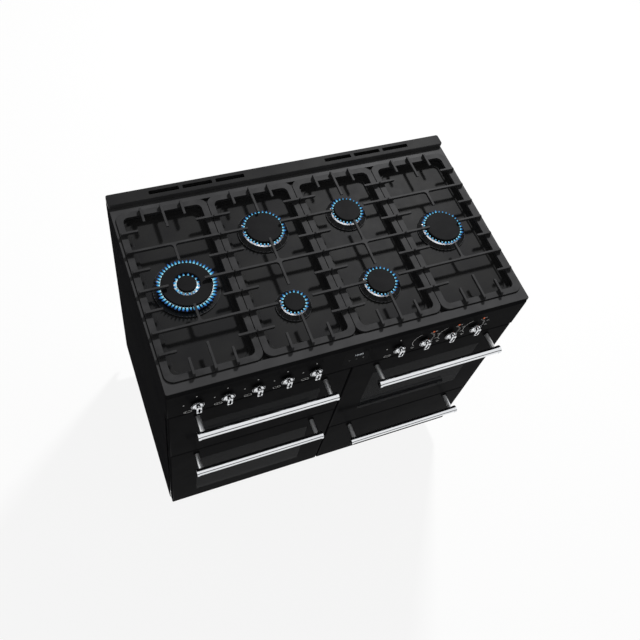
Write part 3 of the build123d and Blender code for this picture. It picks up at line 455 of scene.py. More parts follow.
# %% Eased copies of turned, folded and cast pieces
edges_mm = {f"pan_support_{i}": 1.5 for i in range(1, 5)}
edges_mm.update({"hob_top": 0.0, "rear_upstand": 0.0, "control_panel": 0.0, "drawer_front": 0.0})
edges_mm.update({"burner_crowns": 0.3, "burner_caps": 0.6, "burner_cups": 0.4, "levelling_feet": 0.8})
edges_mm.update({f"{door}_skin": 0.0 for door in doors})
edges_mm.update({f"{door}_liner": 0.5 for door in doors})
edges_mm.update({node: 0.5 for node in finishes[polished_chrome]})
edges_mm.update({"oven_shelves": 0.0, "oven_elements": 0.0, "gas_rail": 0.5, "fan_motor": 0.6})
edges_mm["burner_electrodes"] = 0.4
eased = {node: eased_copy(node, edge) for node, edge in edges_mm.items()}
print("eased copies:", len(eased), "with", sum(len(p.data.polygons) for p in eased.values()), "faces")

# %% [markdown]
# ## Two finishes on one piece
# A knob is one moulding whose skirt is left black under the chromed grip. A handle's bar is polished,
# its posts are satin and stand in black collars. The folded edges of the enamelled fronts and the hob
# are matt like the sides, and on the hob's edge that darker enamel is painted shade. The hob's raised
# rim and the upstand's front take a paler enamel, which is painted light. So another material goes on
# the faces that a short rule picks out.

# %% Second finishes
FACE_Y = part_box("control_panel")[0][Y]
GRIP_LENGTH = 14 * MM
COLLAR_LENGTH = 4 * MM
BAR_DIAMETER = 20 * MM
SKIRT_INSET = 4 * MM
MARGIN = 0.2 * MM
rim_low, rim_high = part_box("hob_top")
rim_z = rim_high[Z] - 0.5 * MM


def finish_where(node, material, chosen):
    """Gives the faces of a node's copy that chosen picks another material."""
    mesh = eased[node].data
    mesh.materials.append(material)
    for face in mesh.polygons:
        if chosen(face):
            face.material_index = len(mesh.materials) - 1


for knob in gas_knobs + oven_knobs:
    grip_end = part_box(knob)[0][Y] + GRIP_LENGTH - MARGIN
    finish_where(knob, gloss_enamel, lambda face: face.center.y > grip_end)
for handle in [f"{door}_handle" for door in doors] + ["drawer_handle"]:
    bar_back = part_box(handle)[0][Y] + BAR_DIAMETER
    finish_where(handle, satin_chrome, lambda face: face.center.y > bar_back)
    finish_where(handle, gloss_enamel, lambda face: face.center.y > FACE_Y - COLLAR_LENGTH - MARGIN)
for panel in ["control_panel", "drawer_front"] + [f"{door}_skin" for door in doors]:
    finish_where(panel, side_enamel, lambda face: abs(face.normal.x) > 0.5)


def on_skirt(face):
    """Whether a face of the hob is on its folded outer edge."""
    at_side = abs(face.center.x) > rim_high[X] - SKIRT_INSET
    at_front = face.center.y < rim_low[Y] + SKIRT_INSET
    return (at_side or at_front) and face.normal.z < 0.5


# Painted shade: the hob's folded front and side edges take the darker side enamel.
finish_where("hob_top", side_enamel, on_skirt)
# Painted light: the rim's top and the upstand's front take the paler enamel.
finish_where("hob_top", painted_light_enamel, lambda face: face.normal.z > 0.9 and face.center.z > rim_z)
finish_where("rear_upstand", painted_light_enamel, lambda face: face.normal.y < -0.5)
print("pieces with a second finish:", sum(len(piece.data.materials) > 1 for piece in eased.values()))

# %% [markdown]
# ## Chromed bells and tips on the knobs
# Between skirt and grip a knob flares out in a chromed bell, and the grip ends in a wider tip. A bell
# is round about the knob's axis, so its section is turned to a ring, and the tip is a rounded pad.


# %% Helpers for turned rings and pads
TURN_STEPS = 40


def middle(node, axis):
    """The middle of a node's box along an axis."""
    low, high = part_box(node)
    return (low[axis] + high[axis]) / 2


def turned(work, section, x, z):
    """Adds a ring with this closed section of (radius, y) in millimetres, turned about an axis along Y."""
    turns = [2 * math.pi * i / TURN_STEPS for i in range(TURN_STEPS)]
    rings = [[work.verts.new((x + r * MM * math.cos(t), y * MM, z + r * MM * math.sin(t))) for t in turns]
             for r, y in section]
    for here, there in zip(rings, rings[1:] + rings[:1]):
        for i in range(TURN_STEPS):
            j = (i + 1) % TURN_STEPS
            work.faces.new((here[i], here[j], there[j], there[i]))


def rounded_pad(work, centre, size, edge):
    """Adds a box with rounded edges, in metres."""
    corners = bmesh.ops.create_cube(work, size=1.0)["verts"]
    bmesh.ops.scale(work, vec=size, verts=corners)
    bmesh.ops.translate(work, vec=centre, verts=corners)
    edges = list(dict.fromkeys(e for v in corners for e in v.link_edges))
    bmesh.ops.bevel(work, geom=edges, offset=edge, segments=3, profile=0.5, affect="EDGES")


def finished_mesh(work, name, finish):
    """Turns a bmesh to a smooth object with crisp edges and its faces outwards."""
    bmesh.ops.recalc_face_normals(work, faces=work.faces)
    crisp(work)
    mesh = bpy.data.meshes.new(name)
    work.to_mesh(mesh)
    work.free()
    mesh.materials.append(finish)
    return new_object(name, mesh)


print("steps round a turned ring:", TURN_STEPS)

# %% Knob bells and tips
KNOB_Z = middle("gas_knob_1", Z)
TIP_SIZE = (13.5 * MM, 4.0 * MM, 29 * MM)
for knob in gas_knobs + oven_knobs:
    knob_x = middle(knob, X)
    tip_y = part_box(knob)[0][Y]
    skirt = (tip_y + GRIP_LENGTH) / MM
    work = bmesh.new()
    bell = ((13.5, skirt + 0.2), (13.5, skirt - 1.0), (12.0, skirt - 1.5), (10.0, skirt - 2.8),
            (8.0, skirt - 5.4), (7.0, skirt - 8.5), (5.8, skirt - 8.5), (5.8, skirt + 0.2))
    rim = ((16.3, skirt + 0.4), (16.3, skirt - 0.3), (16.9, skirt - 0.3), (16.9, skirt + 0.4))
    turned(work, bell, knob_x, KNOB_Z)
    turned(work, rim, knob_x, KNOB_Z)
    rounded_pad(work, (knob_x, tip_y + TIP_SIZE[Y] / 2, KNOB_Z), TIP_SIZE, 1.4 * MM)
    settle(finished_mesh(work, f"{knob}_bell", polished_chrome), body_of[knob])
print("knob bells:", len(gas_knobs + oven_knobs))

# %% [markdown]
# ## Growing repeated pieces with Geometry Nodes
# Flames, burner ribs, printed dots, vent teeth and screws repeat, so each is one shape in a node tree
# that is set on points. The tree is run once, and its result is kept as a plain mesh at the origin.


# %% Helpers for geometry trees
def start_tree(name, inputs):
    """A geometry tree with these named inputs: the tree and its input and output nodes."""
    tree = bpy.data.node_groups.new(name, "GeometryNodeTree")
    tree.interface.new_socket("Geometry", in_out="INPUT", socket_type="NodeSocketGeometry")
    for label, kind in inputs.items():
        tree.interface.new_socket(label, in_out="INPUT", socket_type=kind)
    tree.interface.new_socket("Geometry", in_out="OUTPUT", socket_type="NodeSocketGeometry")
    return tree, tree.nodes.new("NodeGroupInput"), tree.nodes.new("NodeGroupOutput")


def ring_of(tree, given, shape, links=None):
    """A ring of one shape, each facing outwards, with the tree's own Count and Radius."""
    ring = add_node(tree, "GeometryNodeMeshCircle",
                    links={"Vertices": given.outputs["Count"], "Radius": given.outputs["Radius"]})
    spot = add_node(tree, "GeometryNodeInputPosition")
    outward = add_node(tree, "FunctionNodeAlignRotationToVector", {"axis": "X", "pivot_axis": "Z"},
                       {"Vector": spot.outputs["Position"]})
    placed = add_node(tree, "GeometryNodeInstanceOnPoints", links={
        "Points": ring.outputs["Mesh"], "Instance": shape, "Rotation": outward.outputs["Rotation"],
        **(links or {}),
    })
    return placed.outputs["Instances"]


def end_tree(tree, given, made, shape, finish, links=None):
    """Ends a tree: the shape stands on every given point, as real faces with this finish."""
    placed = add_node(tree, "GeometryNodeInstanceOnPoints",
                      links={"Points": given.outputs["Geometry"], "Instance": shape, **(links or {})})
    real = add_node(tree, "GeometryNodeRealizeInstances", links={"Geometry": placed.outputs["Instances"]})
    painted = add_node(tree, "GeometryNodeSetMaterial", {"Material": finish},
                       {"Geometry": real.outputs["Geometry"]})
    tree.links.new(painted.outputs["Geometry"], made.inputs["Geometry"])
    print(tree.name, "has", len(tree.nodes), "nodes")
    return tree


def grow(name, tree, values, points, edges=()):
    """Runs a tree on points or lines and keeps the result as a plain mesh with its faces outwards."""
    mesh = bpy.data.meshes.new(name)
    mesh.from_pydata(points, edges, [])
    piece = new_object(name, mesh)
    modifier = piece.modifiers.new("grow", "NODES")
    modifier.node_group = tree
    labels = {item.name: item.identifier for item in tree.interface.items_tree if item.in_out == "INPUT"}
    for label, value in values.items():
        modifier[labels[label]] = value
    as_plain_mesh(piece)
    # A mesh made by nodes can start with an empty slot, so only the painted one is kept.
    finish = [material for material in piece.data.materials if material][-1]
    work = bmesh.new()
    work.from_mesh(piece.data)
    bmesh.ops.recalc_face_normals(work, faces=work.faces)
    for face in work.faces:
        face.material_index = 0
    work.to_mesh(piece.data)
    work.free()
    piece.data.materials.clear()
    piece.data.materials.append(finish)
    return piece


def joined(name, parts):
    """Several mesh objects as one."""
    work = bmesh.new()
    for part in parts:
        work.from_mesh(part.data)
    mesh = bpy.data.meshes.new(name)
    work.to_mesh(mesh)
    work.free()
    mesh.materials.append(parts[0].data.materials[0])
    for part in parts:
        bpy.data.objects.remove(part)
    return new_object(name, mesh)


print("geometry tree helpers ready")

# %% [markdown]
# ## Gas flames
# Each burner is lit. A tongue of flame leaves every port, runs out past the cap's edge and curls up.
# One tongue is a small sphere drawn out to a teardrop, and a ring of them stands on each crown.

# %% One flame tongue
tree, given, made = start_tree("flame_ring", {
    "Count": "NodeSocketInt", "Radius": "NodeSocketFloat", "Length": "NodeSocketFloat",
    "Width": "NodeSocketFloat", "Seed": "NodeSocketInt",
})
ball = add_node(tree, "GeometryNodeMeshUVSphere", {"Segments": 8, "Rings": 8, "Radius": 1.0})
spot = add_node(tree, "GeometryNodeInputPosition")
part = add_node(tree, "ShaderNodeSeparateXYZ", links={"Vector": spot.outputs["Position"]})
share = add_node(tree, "ShaderNodeMapRange", {"From Min": -1.0, "From Max": 1.0},
                 {"Value": part.outputs["Z"]})
taper = add_node(tree, "ShaderNodeMapRange", {"To Min": 1.2, "To Max": 0.6},
                 {"Value": share.outputs["Result"]})
reach = add_node(tree, "ShaderNodeMath", {"operation": "MULTIPLY"},
                 {0: share.outputs["Result"], 1: given.outputs["Length"]})
curl = add_node(tree, "ShaderNodeMath", {"operation": "MULTIPLY"},
                {0: share.outputs["Result"], 1: reach.outputs["Value"]})
rise = add_node(tree, "ShaderNodeMath", {"operation": "MULTIPLY", 1: 0.2}, {0: curl.outputs["Value"]})
half = add_node(tree, "ShaderNodeMath", {"operation": "MULTIPLY"},
                {0: taper.outputs["Result"], 1: given.outputs["Width"]})
side = add_node(tree, "ShaderNodeMath", {"operation": "MULTIPLY"},
                {0: part.outputs["Y"], 1: half.outputs["Value"]})
thick = add_node(tree, "ShaderNodeMath", {"operation": "MULTIPLY"},
                 {0: part.outputs["X"], 1: half.outputs["Value"]})
height = add_node(tree, "ShaderNodeMath", {"operation": "SUBTRACT"},
                  {0: rise.outputs["Value"], 1: thick.outputs["Value"]})
drawn = add_node(tree, "ShaderNodeCombineXYZ", links={
    "X": reach.outputs["Value"], "Y": side.outputs["Value"], "Z": height.outputs["Value"],
})
named = add_node(tree, "GeometryNodeStoreNamedAttribute",
                 {"data_type": "FLOAT", "domain": "POINT", "Name": "along"},
                 {"Geometry": ball.outputs["Mesh"], "Value": share.outputs["Result"]})
shaped = add_node(tree, "GeometryNodeSetPosition",
                  links={"Geometry": named.outputs["Geometry"], "Position": drawn.outputs["Vector"]})
tongue = add_node(tree, "GeometryNodeSetShadeSmooth", links={"Geometry": shaped.outputs["Geometry"]})
print("tongue nodes:", len(tree.nodes))

# %% A ring of tongues
uneven = add_node(tree, "FunctionNodeRandomValue", {"data_type": "FLOAT", 2: 0.8, 3: 1.15},
                  {"Seed": given.outputs["Seed"]})
flame_ring = ring_of(tree, given, tongue.outputs["Geometry"], {"Scale": uneven.outputs[1]})
flame_tree = end_tree(tree, given, made, flame_ring, gas_flame)

# %% Flames on the burners
BURNER_PITCH_X = 0.246
BURNER_PITCH_Y = 0.122
HOB_CENTRE_Y = 0.017
FLOOR_Z = 0.880
PORT_Z = FLOOR_Z + 0.0166
# A row is a name, a column and a row on the hob, the ring's radius, its count of tongues and its height,
# and the length and half width of a tongue.
burners = (
    ("wok_outer", -1.5, 0, 0.0660, 48, PORT_Z, 0.0125, 0.0027),
    ("wok_inner", -1.5, 0, 0.0255, 16, PORT_Z + 0.003, 0.0085, 0.0026),
    ("rapid_left", -0.5, 1, 0.0500, 34, PORT_Z, 0.0100, 0.0024),
    ("auxiliary", -0.5, -1, 0.0280, 20, PORT_Z, 0.0094, 0.0022),
    ("medium_rear", 0.5, 1, 0.0380, 26, PORT_Z, 0.0097, 0.0023),
    ("medium_front", 0.5, -1, 0.0380, 26, PORT_Z, 0.0097, 0.0023),
    ("rapid_right", 1.5, 0, 0.0500, 34, PORT_Z, 0.0100, 0.0024),
)


def burner_spot(column, row, z):
    """The point on a burner's axis at this height."""
    return Vector((column * BURNER_PITCH_X, HOB_CENTRE_Y + row * BURNER_PITCH_Y, z))


for number, (name, column, row, radius, count, z, length, half_width) in enumerate(burners):
    values = {"Count": count, "Radius": radius, "Length": length, "Width": half_width, "Seed": number}
    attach(grow(f"flames_{name}", flame_tree, values, [burner_spot(column, row, z)]), "cabinet")
print("flame tongues:", sum(burner[4] for burner in burners))

# %% [markdown]
# ## Collars, skirts and ribs of the small burners
# Round a small burner's crown lies a ledge, then a machined collar with a steep bright face, and round
# that a black cone with fine ribs. The ledge is black as painted shade, and the ribs are paler as painted
# highlights. They are sections turned about the burner's upright axis, and one tree sets the ribs round
# the cone, tilted to its slope. The small crowns are matt black like their caps, which is painted shade,
# and only the large burner's crown is bare.

# %% Burner collars and skirts
# The points of a section are the reach past the crown and the height over the hob's floor, in millimetres.
LEDGE_SECTION = ((2.6, 14.6), (4.7, 14.4), (4.7, 3.1), (2.6, 3.1))
COLLAR_SECTION = ((4.8, 14.4), (8.0, 10.9), (8.0, 3.1), (4.8, 3.1))
SKIRT_SECTION = ((8.1, 10.7), (19.6, 3.4), (19.6, 3.1), (8.1, 3.1))
FLAME_OFFSET = 1 * MM
burner_bases = [burner[:4] for burner in burners if burner[0] != "wok_inner"]
small_burners = [base for base in burner_bases if base[0] != "wok_outer"]
for label, sections, finish, slot in (
    ("burner_collars", (COLLAR_SECTION,), machined_aluminium, slot_of["burner_crowns"]),
    # The ledges take the cup's black enamel as painted shade.
    ("burner_skirts_and_shaded_ledges", (LEDGE_SECTION, SKIRT_SECTION), cup_enamel, slot_of["burner_cups"]),
):
    work = bmesh.new()
    for name, column, row, radius in small_burners:
        crown = (radius - FLAME_OFFSET) / MM
        first = len(work.verts)
        for section in sections:
            turned(work, [(crown + reach, height) for reach, height in section], 0.0, 0.0)
        work.verts.ensure_lookup_table()
        upright = Matrix.Translation(burner_spot(column, row, FLOOR_Z)) @ Matrix.Rotation(math.pi / 2, 4, "X")
        bmesh.ops.transform(work, matrix=upright, verts=work.verts[first:])
    settle(finished_mesh(work, label, finish), "cabinet")
# Painted shade: the small crowns take the caps' black enamel, and only the large burner's crown stays bare
# aluminium.
finish_where("burner_crowns", cap_enamel, lambda face: face.center.x > -BURNER_PITCH_X)
print("collars and skirts:", len(small_burners))

# %% Rib tree
tree, given, made = start_tree("burner_ribs", {
    "Count": "NodeSocketInt", "Radius": "NodeSocketFloat",
    "Size": "NodeSocketVector", "Tilt": "NodeSocketVector",
})
bar = add_node(tree, "GeometryNodeMeshCube", links={"Size": given.outputs["Size"]})
sloped = add_node(tree, "GeometryNodeTransform",
                  links={"Geometry": bar.outputs["Mesh"], "Rotation": given.outputs["Tilt"]})
# The ribs take the paler enamel as a painted highlight on the black cone.
rib_tree = end_tree(tree, given, made, ring_of(tree, given, sloped.outputs["Geometry"]), painted_light_enamel)

# %% Burner ribs
RIBS = 12
skirt_top = Vector(SKIRT_SECTION[0]) * MM
skirt_foot = Vector(SKIRT_SECTION[1]) * MM
slope = skirt_foot - skirt_top
half_way = (skirt_top + skirt_foot) / 2
rib_tilt = (0.0, math.atan2(-slope.y, slope.x), 0.0)
rib_size = (slope.length - 0.5 * MM, 1.3 * MM, 1.4 * MM)
ribs = []
for name, column, row, radius in small_burners:
    values = {"Count": RIBS, "Radius": radius - FLAME_OFFSET + half_way.x, "Size": rib_size, "Tilt": rib_tilt}
    ribs.append(grow(f"ribs_{name}", rib_tree, values, [burner_spot(column, row, FLOOR_Z + half_way.y)]))
settle(joined("burner_ribs", ribs), "cabinet")
print("burner ribs:", RIBS * len(small_burners))

# %% [markdown]
# ## Lines that follow a path
# Printed outlines, wire rings and door seals are all one section drawn along a line. Print is flat
# and faces the front, wire and seals are round, so there are two trees that differ in the section.


# %% Trees for flat and round lines
def line_tree(name, is_round):
    """A tree that sweeps a flat or a round section along the given lines."""
    tree, given, made = start_tree(name, {
        "Width": "NodeSocketFloat", "Thickness": "NodeSocketFloat", "Finish": "NodeSocketMaterial",
    })
    path = add_node(tree, "GeometryNodeMeshToCurve", links={"Mesh": given.outputs["Geometry"]})
    if is_round:
        section = add_node(tree, "GeometryNodeCurvePrimitiveCircle", {"Resolution": 10},
                           {"Radius": given.outputs["Width"]})
        faced = path
    else:
        section = add_node(tree, "GeometryNodeCurvePrimitiveQuadrilateral",
                           links={"Width": given.outputs["Thickness"], "Height": given.outputs["Width"]})
        faced = add_node(tree, "GeometryNodeSetCurveNormal", {"mode": "FREE", "Normal": (0.0, -1.0, 0.0)},
                         {"Curve": path.outputs["Curve"]})
    swept = add_node(tree, "GeometryNodeCurveToMesh", {"Fill Caps": True},
                     {"Curve": faced.outputs["Curve"], "Profile Curve": section.outputs["Curve"]})
    real = add_node(tree, "GeometryNodeRealizeInstances", links={"Geometry": swept.outputs["Mesh"]})
    painted = add_node(tree, "GeometryNodeSetMaterial",
                       links={"Geometry": real.outputs["Geometry"], "Material": given.outputs["Finish"]})
    tree.links.new(painted.outputs["Geometry"], made.inputs["Geometry"])
    return tree


flat_line = line_tree("printed_line", False)
round_line = line_tree("wire_line", True)
print("line trees ready")


# %% Paths that face the front
class Lines:
    """Collects points and edges of open or closed lines."""

    def __init__(self):
        self.points = []
        self.edges = []

    def add(self, points, closed=False):
        """Adds one line through these points."""
        first = len(self.points)
        self.points += [tuple(p) for p in points]
        count = len(points)
        self.edges += [(first + i, first + i + 1) for i in range(count - 1)]
        if closed:
            self.edges.append((first + count - 1, first))


def front_point(x, y, z, radius, degrees):
    """One point of a circle that faces the front, at an angle from the right."""
    turn = math.radians(degrees)
    return (x + radius * math.cos(turn), y, z + radius * math.sin(turn))


def front_arc(x, y, z, radius, start, stop, steps):
    """Points of an arc that faces the front, with its angles in degrees from the right."""
    return [front_point(x, y, z, radius, start + (stop - start) * i / steps) for i in range(steps + 1)]


def front_loop(x, y, z, size_x, size_z, corner):
    """Points of a rounded rectangle that faces the front."""
    points = []
    for start, side, end in ((0, 1, 1), (90, -1, 1), (180, -1, -1), (270, 1, -1)):
        points += front_arc(x + side * (size_x / 2 - corner), y, z + end * (size_z / 2 - corner),
                            corner, start, start + 90, 6)
    return points


print("points of a rounded rectangle:", len(front_loop(0, 0, 0, 1, 1, 0.1)))

# %% [markdown]
# ## Print on the fascia
# Each gas knob has two dots, for off and for full flame, and a small outline with a dot that shows
# which burner it serves. Each oven knob has an arc, ticks and plain numbers. Print is a thin layer of
# white ink, so it is flat and stands a tenth of a millimetre or so proud.

# %% Dot tree
tree, given, made = start_tree("ink_dots", {"Radius": "NodeSocketFloat", "Thickness": "NodeSocketFloat"})
disc = add_node(tree, "GeometryNodeMeshCylinder", {"Vertices": 16},
                {"Radius": given.outputs["Radius"], "Depth": given.outputs["Thickness"]})
upright = add_node(tree, "GeometryNodeTransform", {"Rotation": (math.pi / 2, 0, 0)},
                   {"Geometry": disc.outputs["Mesh"]})
dot_tree = end_tree(tree, given, made, upright.outputs["Geometry"], white_ink)

# %% Gas scales
INK_Y = FACE_Y - 0.05 * MM
INK_THICK = 0.2 * MM
DOT_CIRCLE = 32.5 * MM
PLAN_LEFT = 22 * MM
PLAN_DOWN = 42 * MM
# The dot of each gas knob's burner plan, in millimetres from the plan's middle.
PLAN_DOTS = ((-6, 0), (-2, 1.5), (-2, -1.5), (2, 1.5), (2, -1.5), (6, 0))
dots = []
small_dots = []
outlines = Lines()
for knob, (dot_x, dot_z) in zip(gas_knobs, PLAN_DOTS):
    x = middle(knob, X)
    dots += [(x, INK_Y, KNOB_Z + DOT_CIRCLE), (x - DOT_CIRCLE, INK_Y, KNOB_Z)]
    plan_x = x - PLAN_LEFT
    plan_z = KNOB_Z - PLAN_DOWN
    outlines.add(front_loop(plan_x, INK_Y, plan_z, 20 * MM, 9 * MM, 4.4 * MM), closed=True)
    small_dots.append((plan_x + dot_x * MM, INK_Y, plan_z + dot_z * MM))
print("gas scales:", len(gas_knobs))

# %% Oven scales
TICK_INNER = 28 * MM
TICK_OUTER = 33 * MM
ticks = Lines()
for knob in oven_knobs:
    x = middle(knob, X)
    outlines.add(front_arc(x, INK_Y, KNOB_Z, TICK_OUTER, 112, 225, 24))
    for angle in range(-48, 61, 12):
        ticks.add([front_point(x, INK_Y, KNOB_Z, radius, angle) for radius in (TICK_INNER, TICK_OUTER)])
    ticks.add(front_arc(x, INK_Y, KNOB_Z, 40 * MM, 222, 238, 6))
    ticks.add(front_arc(x, INK_Y, KNOB_Z, 44 * MM, 224, 236, 6))
white = {"Thickness": INK_THICK, "Finish": white_ink}
for piece in (
    grow("knob_dots", dot_tree, {"Radius": 2.0 * MM, "Thickness": INK_THICK}, dots),
    grow("burner_dots", dot_tree, {"Radius": 1.2 * MM, "Thickness": INK_THICK}, small_dots),
    grow("scale_outlines", flat_line, {"Width": 1.1 * MM, **white}, outlines.points, outlines.edges),
    grow("scale_ticks", flat_line, {"Width": 1.3 * MM, **white}, ticks.points, ticks.edges),
):
    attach(piece, "cabinet")
print("printed marks:", len(dots) + len(small_dots), "dots and", len(ticks.edges), "ticks")


# %% Dial numbers
def lettering(words, size_mm, x, y, z, ink):
    """Words that face the front, as a thin mesh."""
    curve = bpy.data.curves.new("words", "FONT")
    curve.body = words
    curve.size = size_mm * MM
    curve.extrude = 0.05 * MM
    curve.align_x = "CENTER"
    curve.align_y = "CENTER"
    written = new_object("words", curve)
    bpy.context.view_layer.update()
    mesh = bpy.data.meshes.new_from_object(written.evaluated_get(bpy.context.evaluated_depsgraph_get()))
    bpy.data.objects.remove(written)
    mesh.transform(Matrix.Translation((x, y, z)) @ Matrix.Rotation(math.pi / 2, 4, "X"))
    mesh.materials.clear()
    mesh.materials.append(ink)
    return bpy.data.objects.new("words", mesh)


numbers = []
for knob in oven_knobs:
    for value, angle in ((50, 45), (100, 15), (150, -15), (200, -45), (250, -75)):
        spot = front_point(middle(knob, X), INK_Y, KNOB_Z, 42 * MM, angle)
        numbers.append(lettering(str(value), 6.0, *spot, white_ink))
print("dial numbers:", len(numbers))

# %% Clock digits and touch marks
MARK_REACH = 2.5 * MM
clock_x = middle("clock_glass", X)
clock_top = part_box("clock_glass")[1][Z]
touch_z = clock_top - 41 * MM
digits = [lettering("12:00", 11.0, clock_x + 5 * MM, INK_Y, clock_top - 19 * MM, clock_light)]
touch = Lines()
for offset in (-18, 2, 22):
    x = clock_x + offset * MM
    touch.add([(x - MARK_REACH, INK_Y, touch_z), (x + MARK_REACH, INK_Y, touch_z)])
# The last mark is a plus, so it gets an upright stroke as well.
touch.add([(x, INK_Y, touch_z - MARK_REACH), (x, INK_Y, touch_z + MARK_REACH)])
for piece in (
    joined("dial_numbers", numbers),
    joined("clock_digits", digits),
    grow("touch_marks", flat_line, {"Width": 0.9 * MM, "Thickness": INK_THICK, "Finish": grey_ink},
         touch.points, touch.edges),
):
    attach(piece, "cabinet")
print("touch strokes:", len(touch.edges))

# %% [markdown]
# ## Oven lamps
# A small amber lens beside each oven knob shows that the oven is heating. Each is a moulded pad with
# rounded edges, pressed into the fascia, so it is a bevelled box that stands a millimetre proud.

# %% Amber lenses
LENS_SIZE = (5 * MM, 2 * MM, 5.5 * MM)
work = bmesh.new()
for knob in oven_knobs:
    rounded_pad(work, (middle(knob, X) + 21.5 * MM, FACE_Y, KNOB_Z + 31 * MM), LENS_SIZE, 0.9 * MM)
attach(finished_mesh(work, "oven_lamps", amber_lamp), "cabinet")
print("oven lamps:", len(oven_knobs))

# %% [markdown]
# ## Vent combs and painted shade
# Behind the front edge of each vent in the rear upstand runs a row of small moulded teeth. One tree
# sets a row of teeth in every vent, just under the top sheet. Below them a thin black plate lies over
# the slot in the hob as painted shade, where the shade inside the cooker would be.

# %% Tooth tree
tree, given, made = start_tree("vent_teeth", {
    "Count": "NodeSocketInt", "Pitch": "NodeSocketVector", "Size": "NodeSocketVector",
})
nub = add_node(tree, "GeometryNodeMeshCylinder", {"Vertices": 10, "Radius": 0.5, "Depth": 1.0})
tooth = add_node(tree, "GeometryNodeTransform",
                 links={"Geometry": nub.outputs["Mesh"], "Scale": given.outputs["Size"]})
row = add_node(tree, "GeometryNodeMeshLine", {"mode": "OFFSET"},
               {"Count": given.outputs["Count"], "Offset": given.outputs["Pitch"]})
comb = add_node(tree, "GeometryNodeInstanceOnPoints",
                links={"Points": row.outputs["Mesh"], "Instance": tooth.outputs["Geometry"]})
tooth_tree = end_tree(tree, given, made, comb.outputs["Instances"], satin_enamel)

# %% Vent teeth
VENT_GROUP_X = 255 * MM
VENT_PITCH = 92.5 * MM
TOOTH_PITCH = 6.6 * MM
TOOTH_SIZE = (3.4 * MM, 4.2 * MM, 8.0 * MM)
TEETH = 12
upstand_low, upstand_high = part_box("rear_upstand")
vent_y = middle("rear_upstand", Y)
tooth_y = vent_y - 6.6 * MM
tooth_z = upstand_high[Z] - 5.2 * MM
half_comb = (TEETH - 1) / 2 * TOOTH_PITCH
vent_starts = [(group * VENT_GROUP_X + step * VENT_PITCH - half_comb, tooth_y, tooth_z)
               for group in (-1, 1) for step in (-1, 0, 1)]
teeth = grow("vent_teeth", tooth_tree, {
    "Count": TEETH, "Pitch": (TOOTH_PITCH, 0, 0), "Size": TOOTH_SIZE,
}, vent_starts)
settle(teeth, "cabinet")
print("vent teeth:", TEETH * len(vent_starts))

# %% Painted shade under the vents
# Painted shade: a thin black plate under each group of vents.
SHADE_PLATE_SIZE = (275 * MM, 19 * MM, 0.8 * MM)
work = bmesh.new()
for group in (-1, 1):
    shade_plate_spot = (group * VENT_GROUP_X, vent_y, upstand_low[Z] + SHADE_PLATE_SIZE[Z] / 2)
    rounded_pad(work, shade_plate_spot, SHADE_PLATE_SIZE, 0.2 * MM)
settle(finished_mesh(work, "vent_shade_plates", cup_enamel), "cabinet")
print("vent shade plates laid")

# %% [markdown]
# ## Screws at the back
# The rear panel and the terminal cover are held by cross-head screws. One tree cuts a cross into a
# low cone, turns each screw by a random angle with a fixed seed, and sets them on the panel.

# %% Screw tree
tree, given, made = start_tree("cross_head_screws", {
    "Radius": "NodeSocketFloat", "Height": "NodeSocketFloat",
    "Slot": "NodeSocketVector", "Seed": "NodeSocketInt",
})
top_radius = add_node(tree, "ShaderNodeMath", {"operation": "MULTIPLY", 1: 0.7}, {0: given.outputs["Radius"]})
head = add_node(tree, "GeometryNodeMeshCone", {"Vertices": 16}, {
    "Radius Top": top_radius.outputs["Value"], "Radius Bottom": given.outputs["Radius"],
    "Depth": given.outputs["Height"],
})
blade = add_node(tree, "GeometryNodeMeshCube", links={"Size": given.outputs["Slot"]})
crossed = add_node(tree, "GeometryNodeTransform", {"Rotation": (0, 0, math.pi / 2)},
                   {"Geometry": blade.outputs["Mesh"]})
lift = add_node(tree, "ShaderNodeCombineXYZ", links={"Z": given.outputs["Height"]})
cut = add_node(tree, "GeometryNodeMeshBoolean", {"operation": "DIFFERENCE"}, {0: head.outputs["Mesh"]})
for slot_part in (blade.outputs["Mesh"], crossed.outputs["Geometry"]):
    raised = add_node(tree, "GeometryNodeTransform",
                      links={"Geometry": slot_part, "Translation": lift.outputs["Vector"]})
    tree.links.new(raised.outputs["Geometry"], cut.inputs[1])
to_back = add_node(tree, "GeometryNodeTransform", {"Rotation": (-math.pi / 2, 0, 0)},
                   {"Geometry": cut.outputs["Mesh"]})
spin = add_node(tree, "FunctionNodeRandomValue", {"data_type": "FLOAT_VECTOR", 1: (0.0, math.pi / 2, 0.0)},
                {"Seed": given.outputs["Seed"]})
screw_tree = end_tree(tree, given, made, to_back.outputs["Geometry"], drawn_steel,
                      {"Rotation": spin.outputs[0]})

# %% Cross-head screws
PANEL_Y = 0.304
COVER_Y = 0.326
screw_spots = [(side * 0.470, PANEL_Y, z) for side in (-1, 1) for z in (0.13, 0.30, 0.47, 0.64, 0.79)]
screw_spots += [(x, PANEL_Y, z) for x in (-0.30, -0.10, 0.10, 0.30) for z in (0.115, 0.865)]
screw_spots += [(x, COVER_Y, 0.220) for x in (0.280, 0.380)]
screws = grow("rear_screws", screw_tree, {
    "Radius": 4.2 * MM, "Height": 2.2 * MM, "Slot": (4.4 * MM, 1.1 * MM, 2.0 * MM), "Seed": 4,
}, screw_spots)
settle(screws, "cabinet")
print("screws:", len(screw_spots))
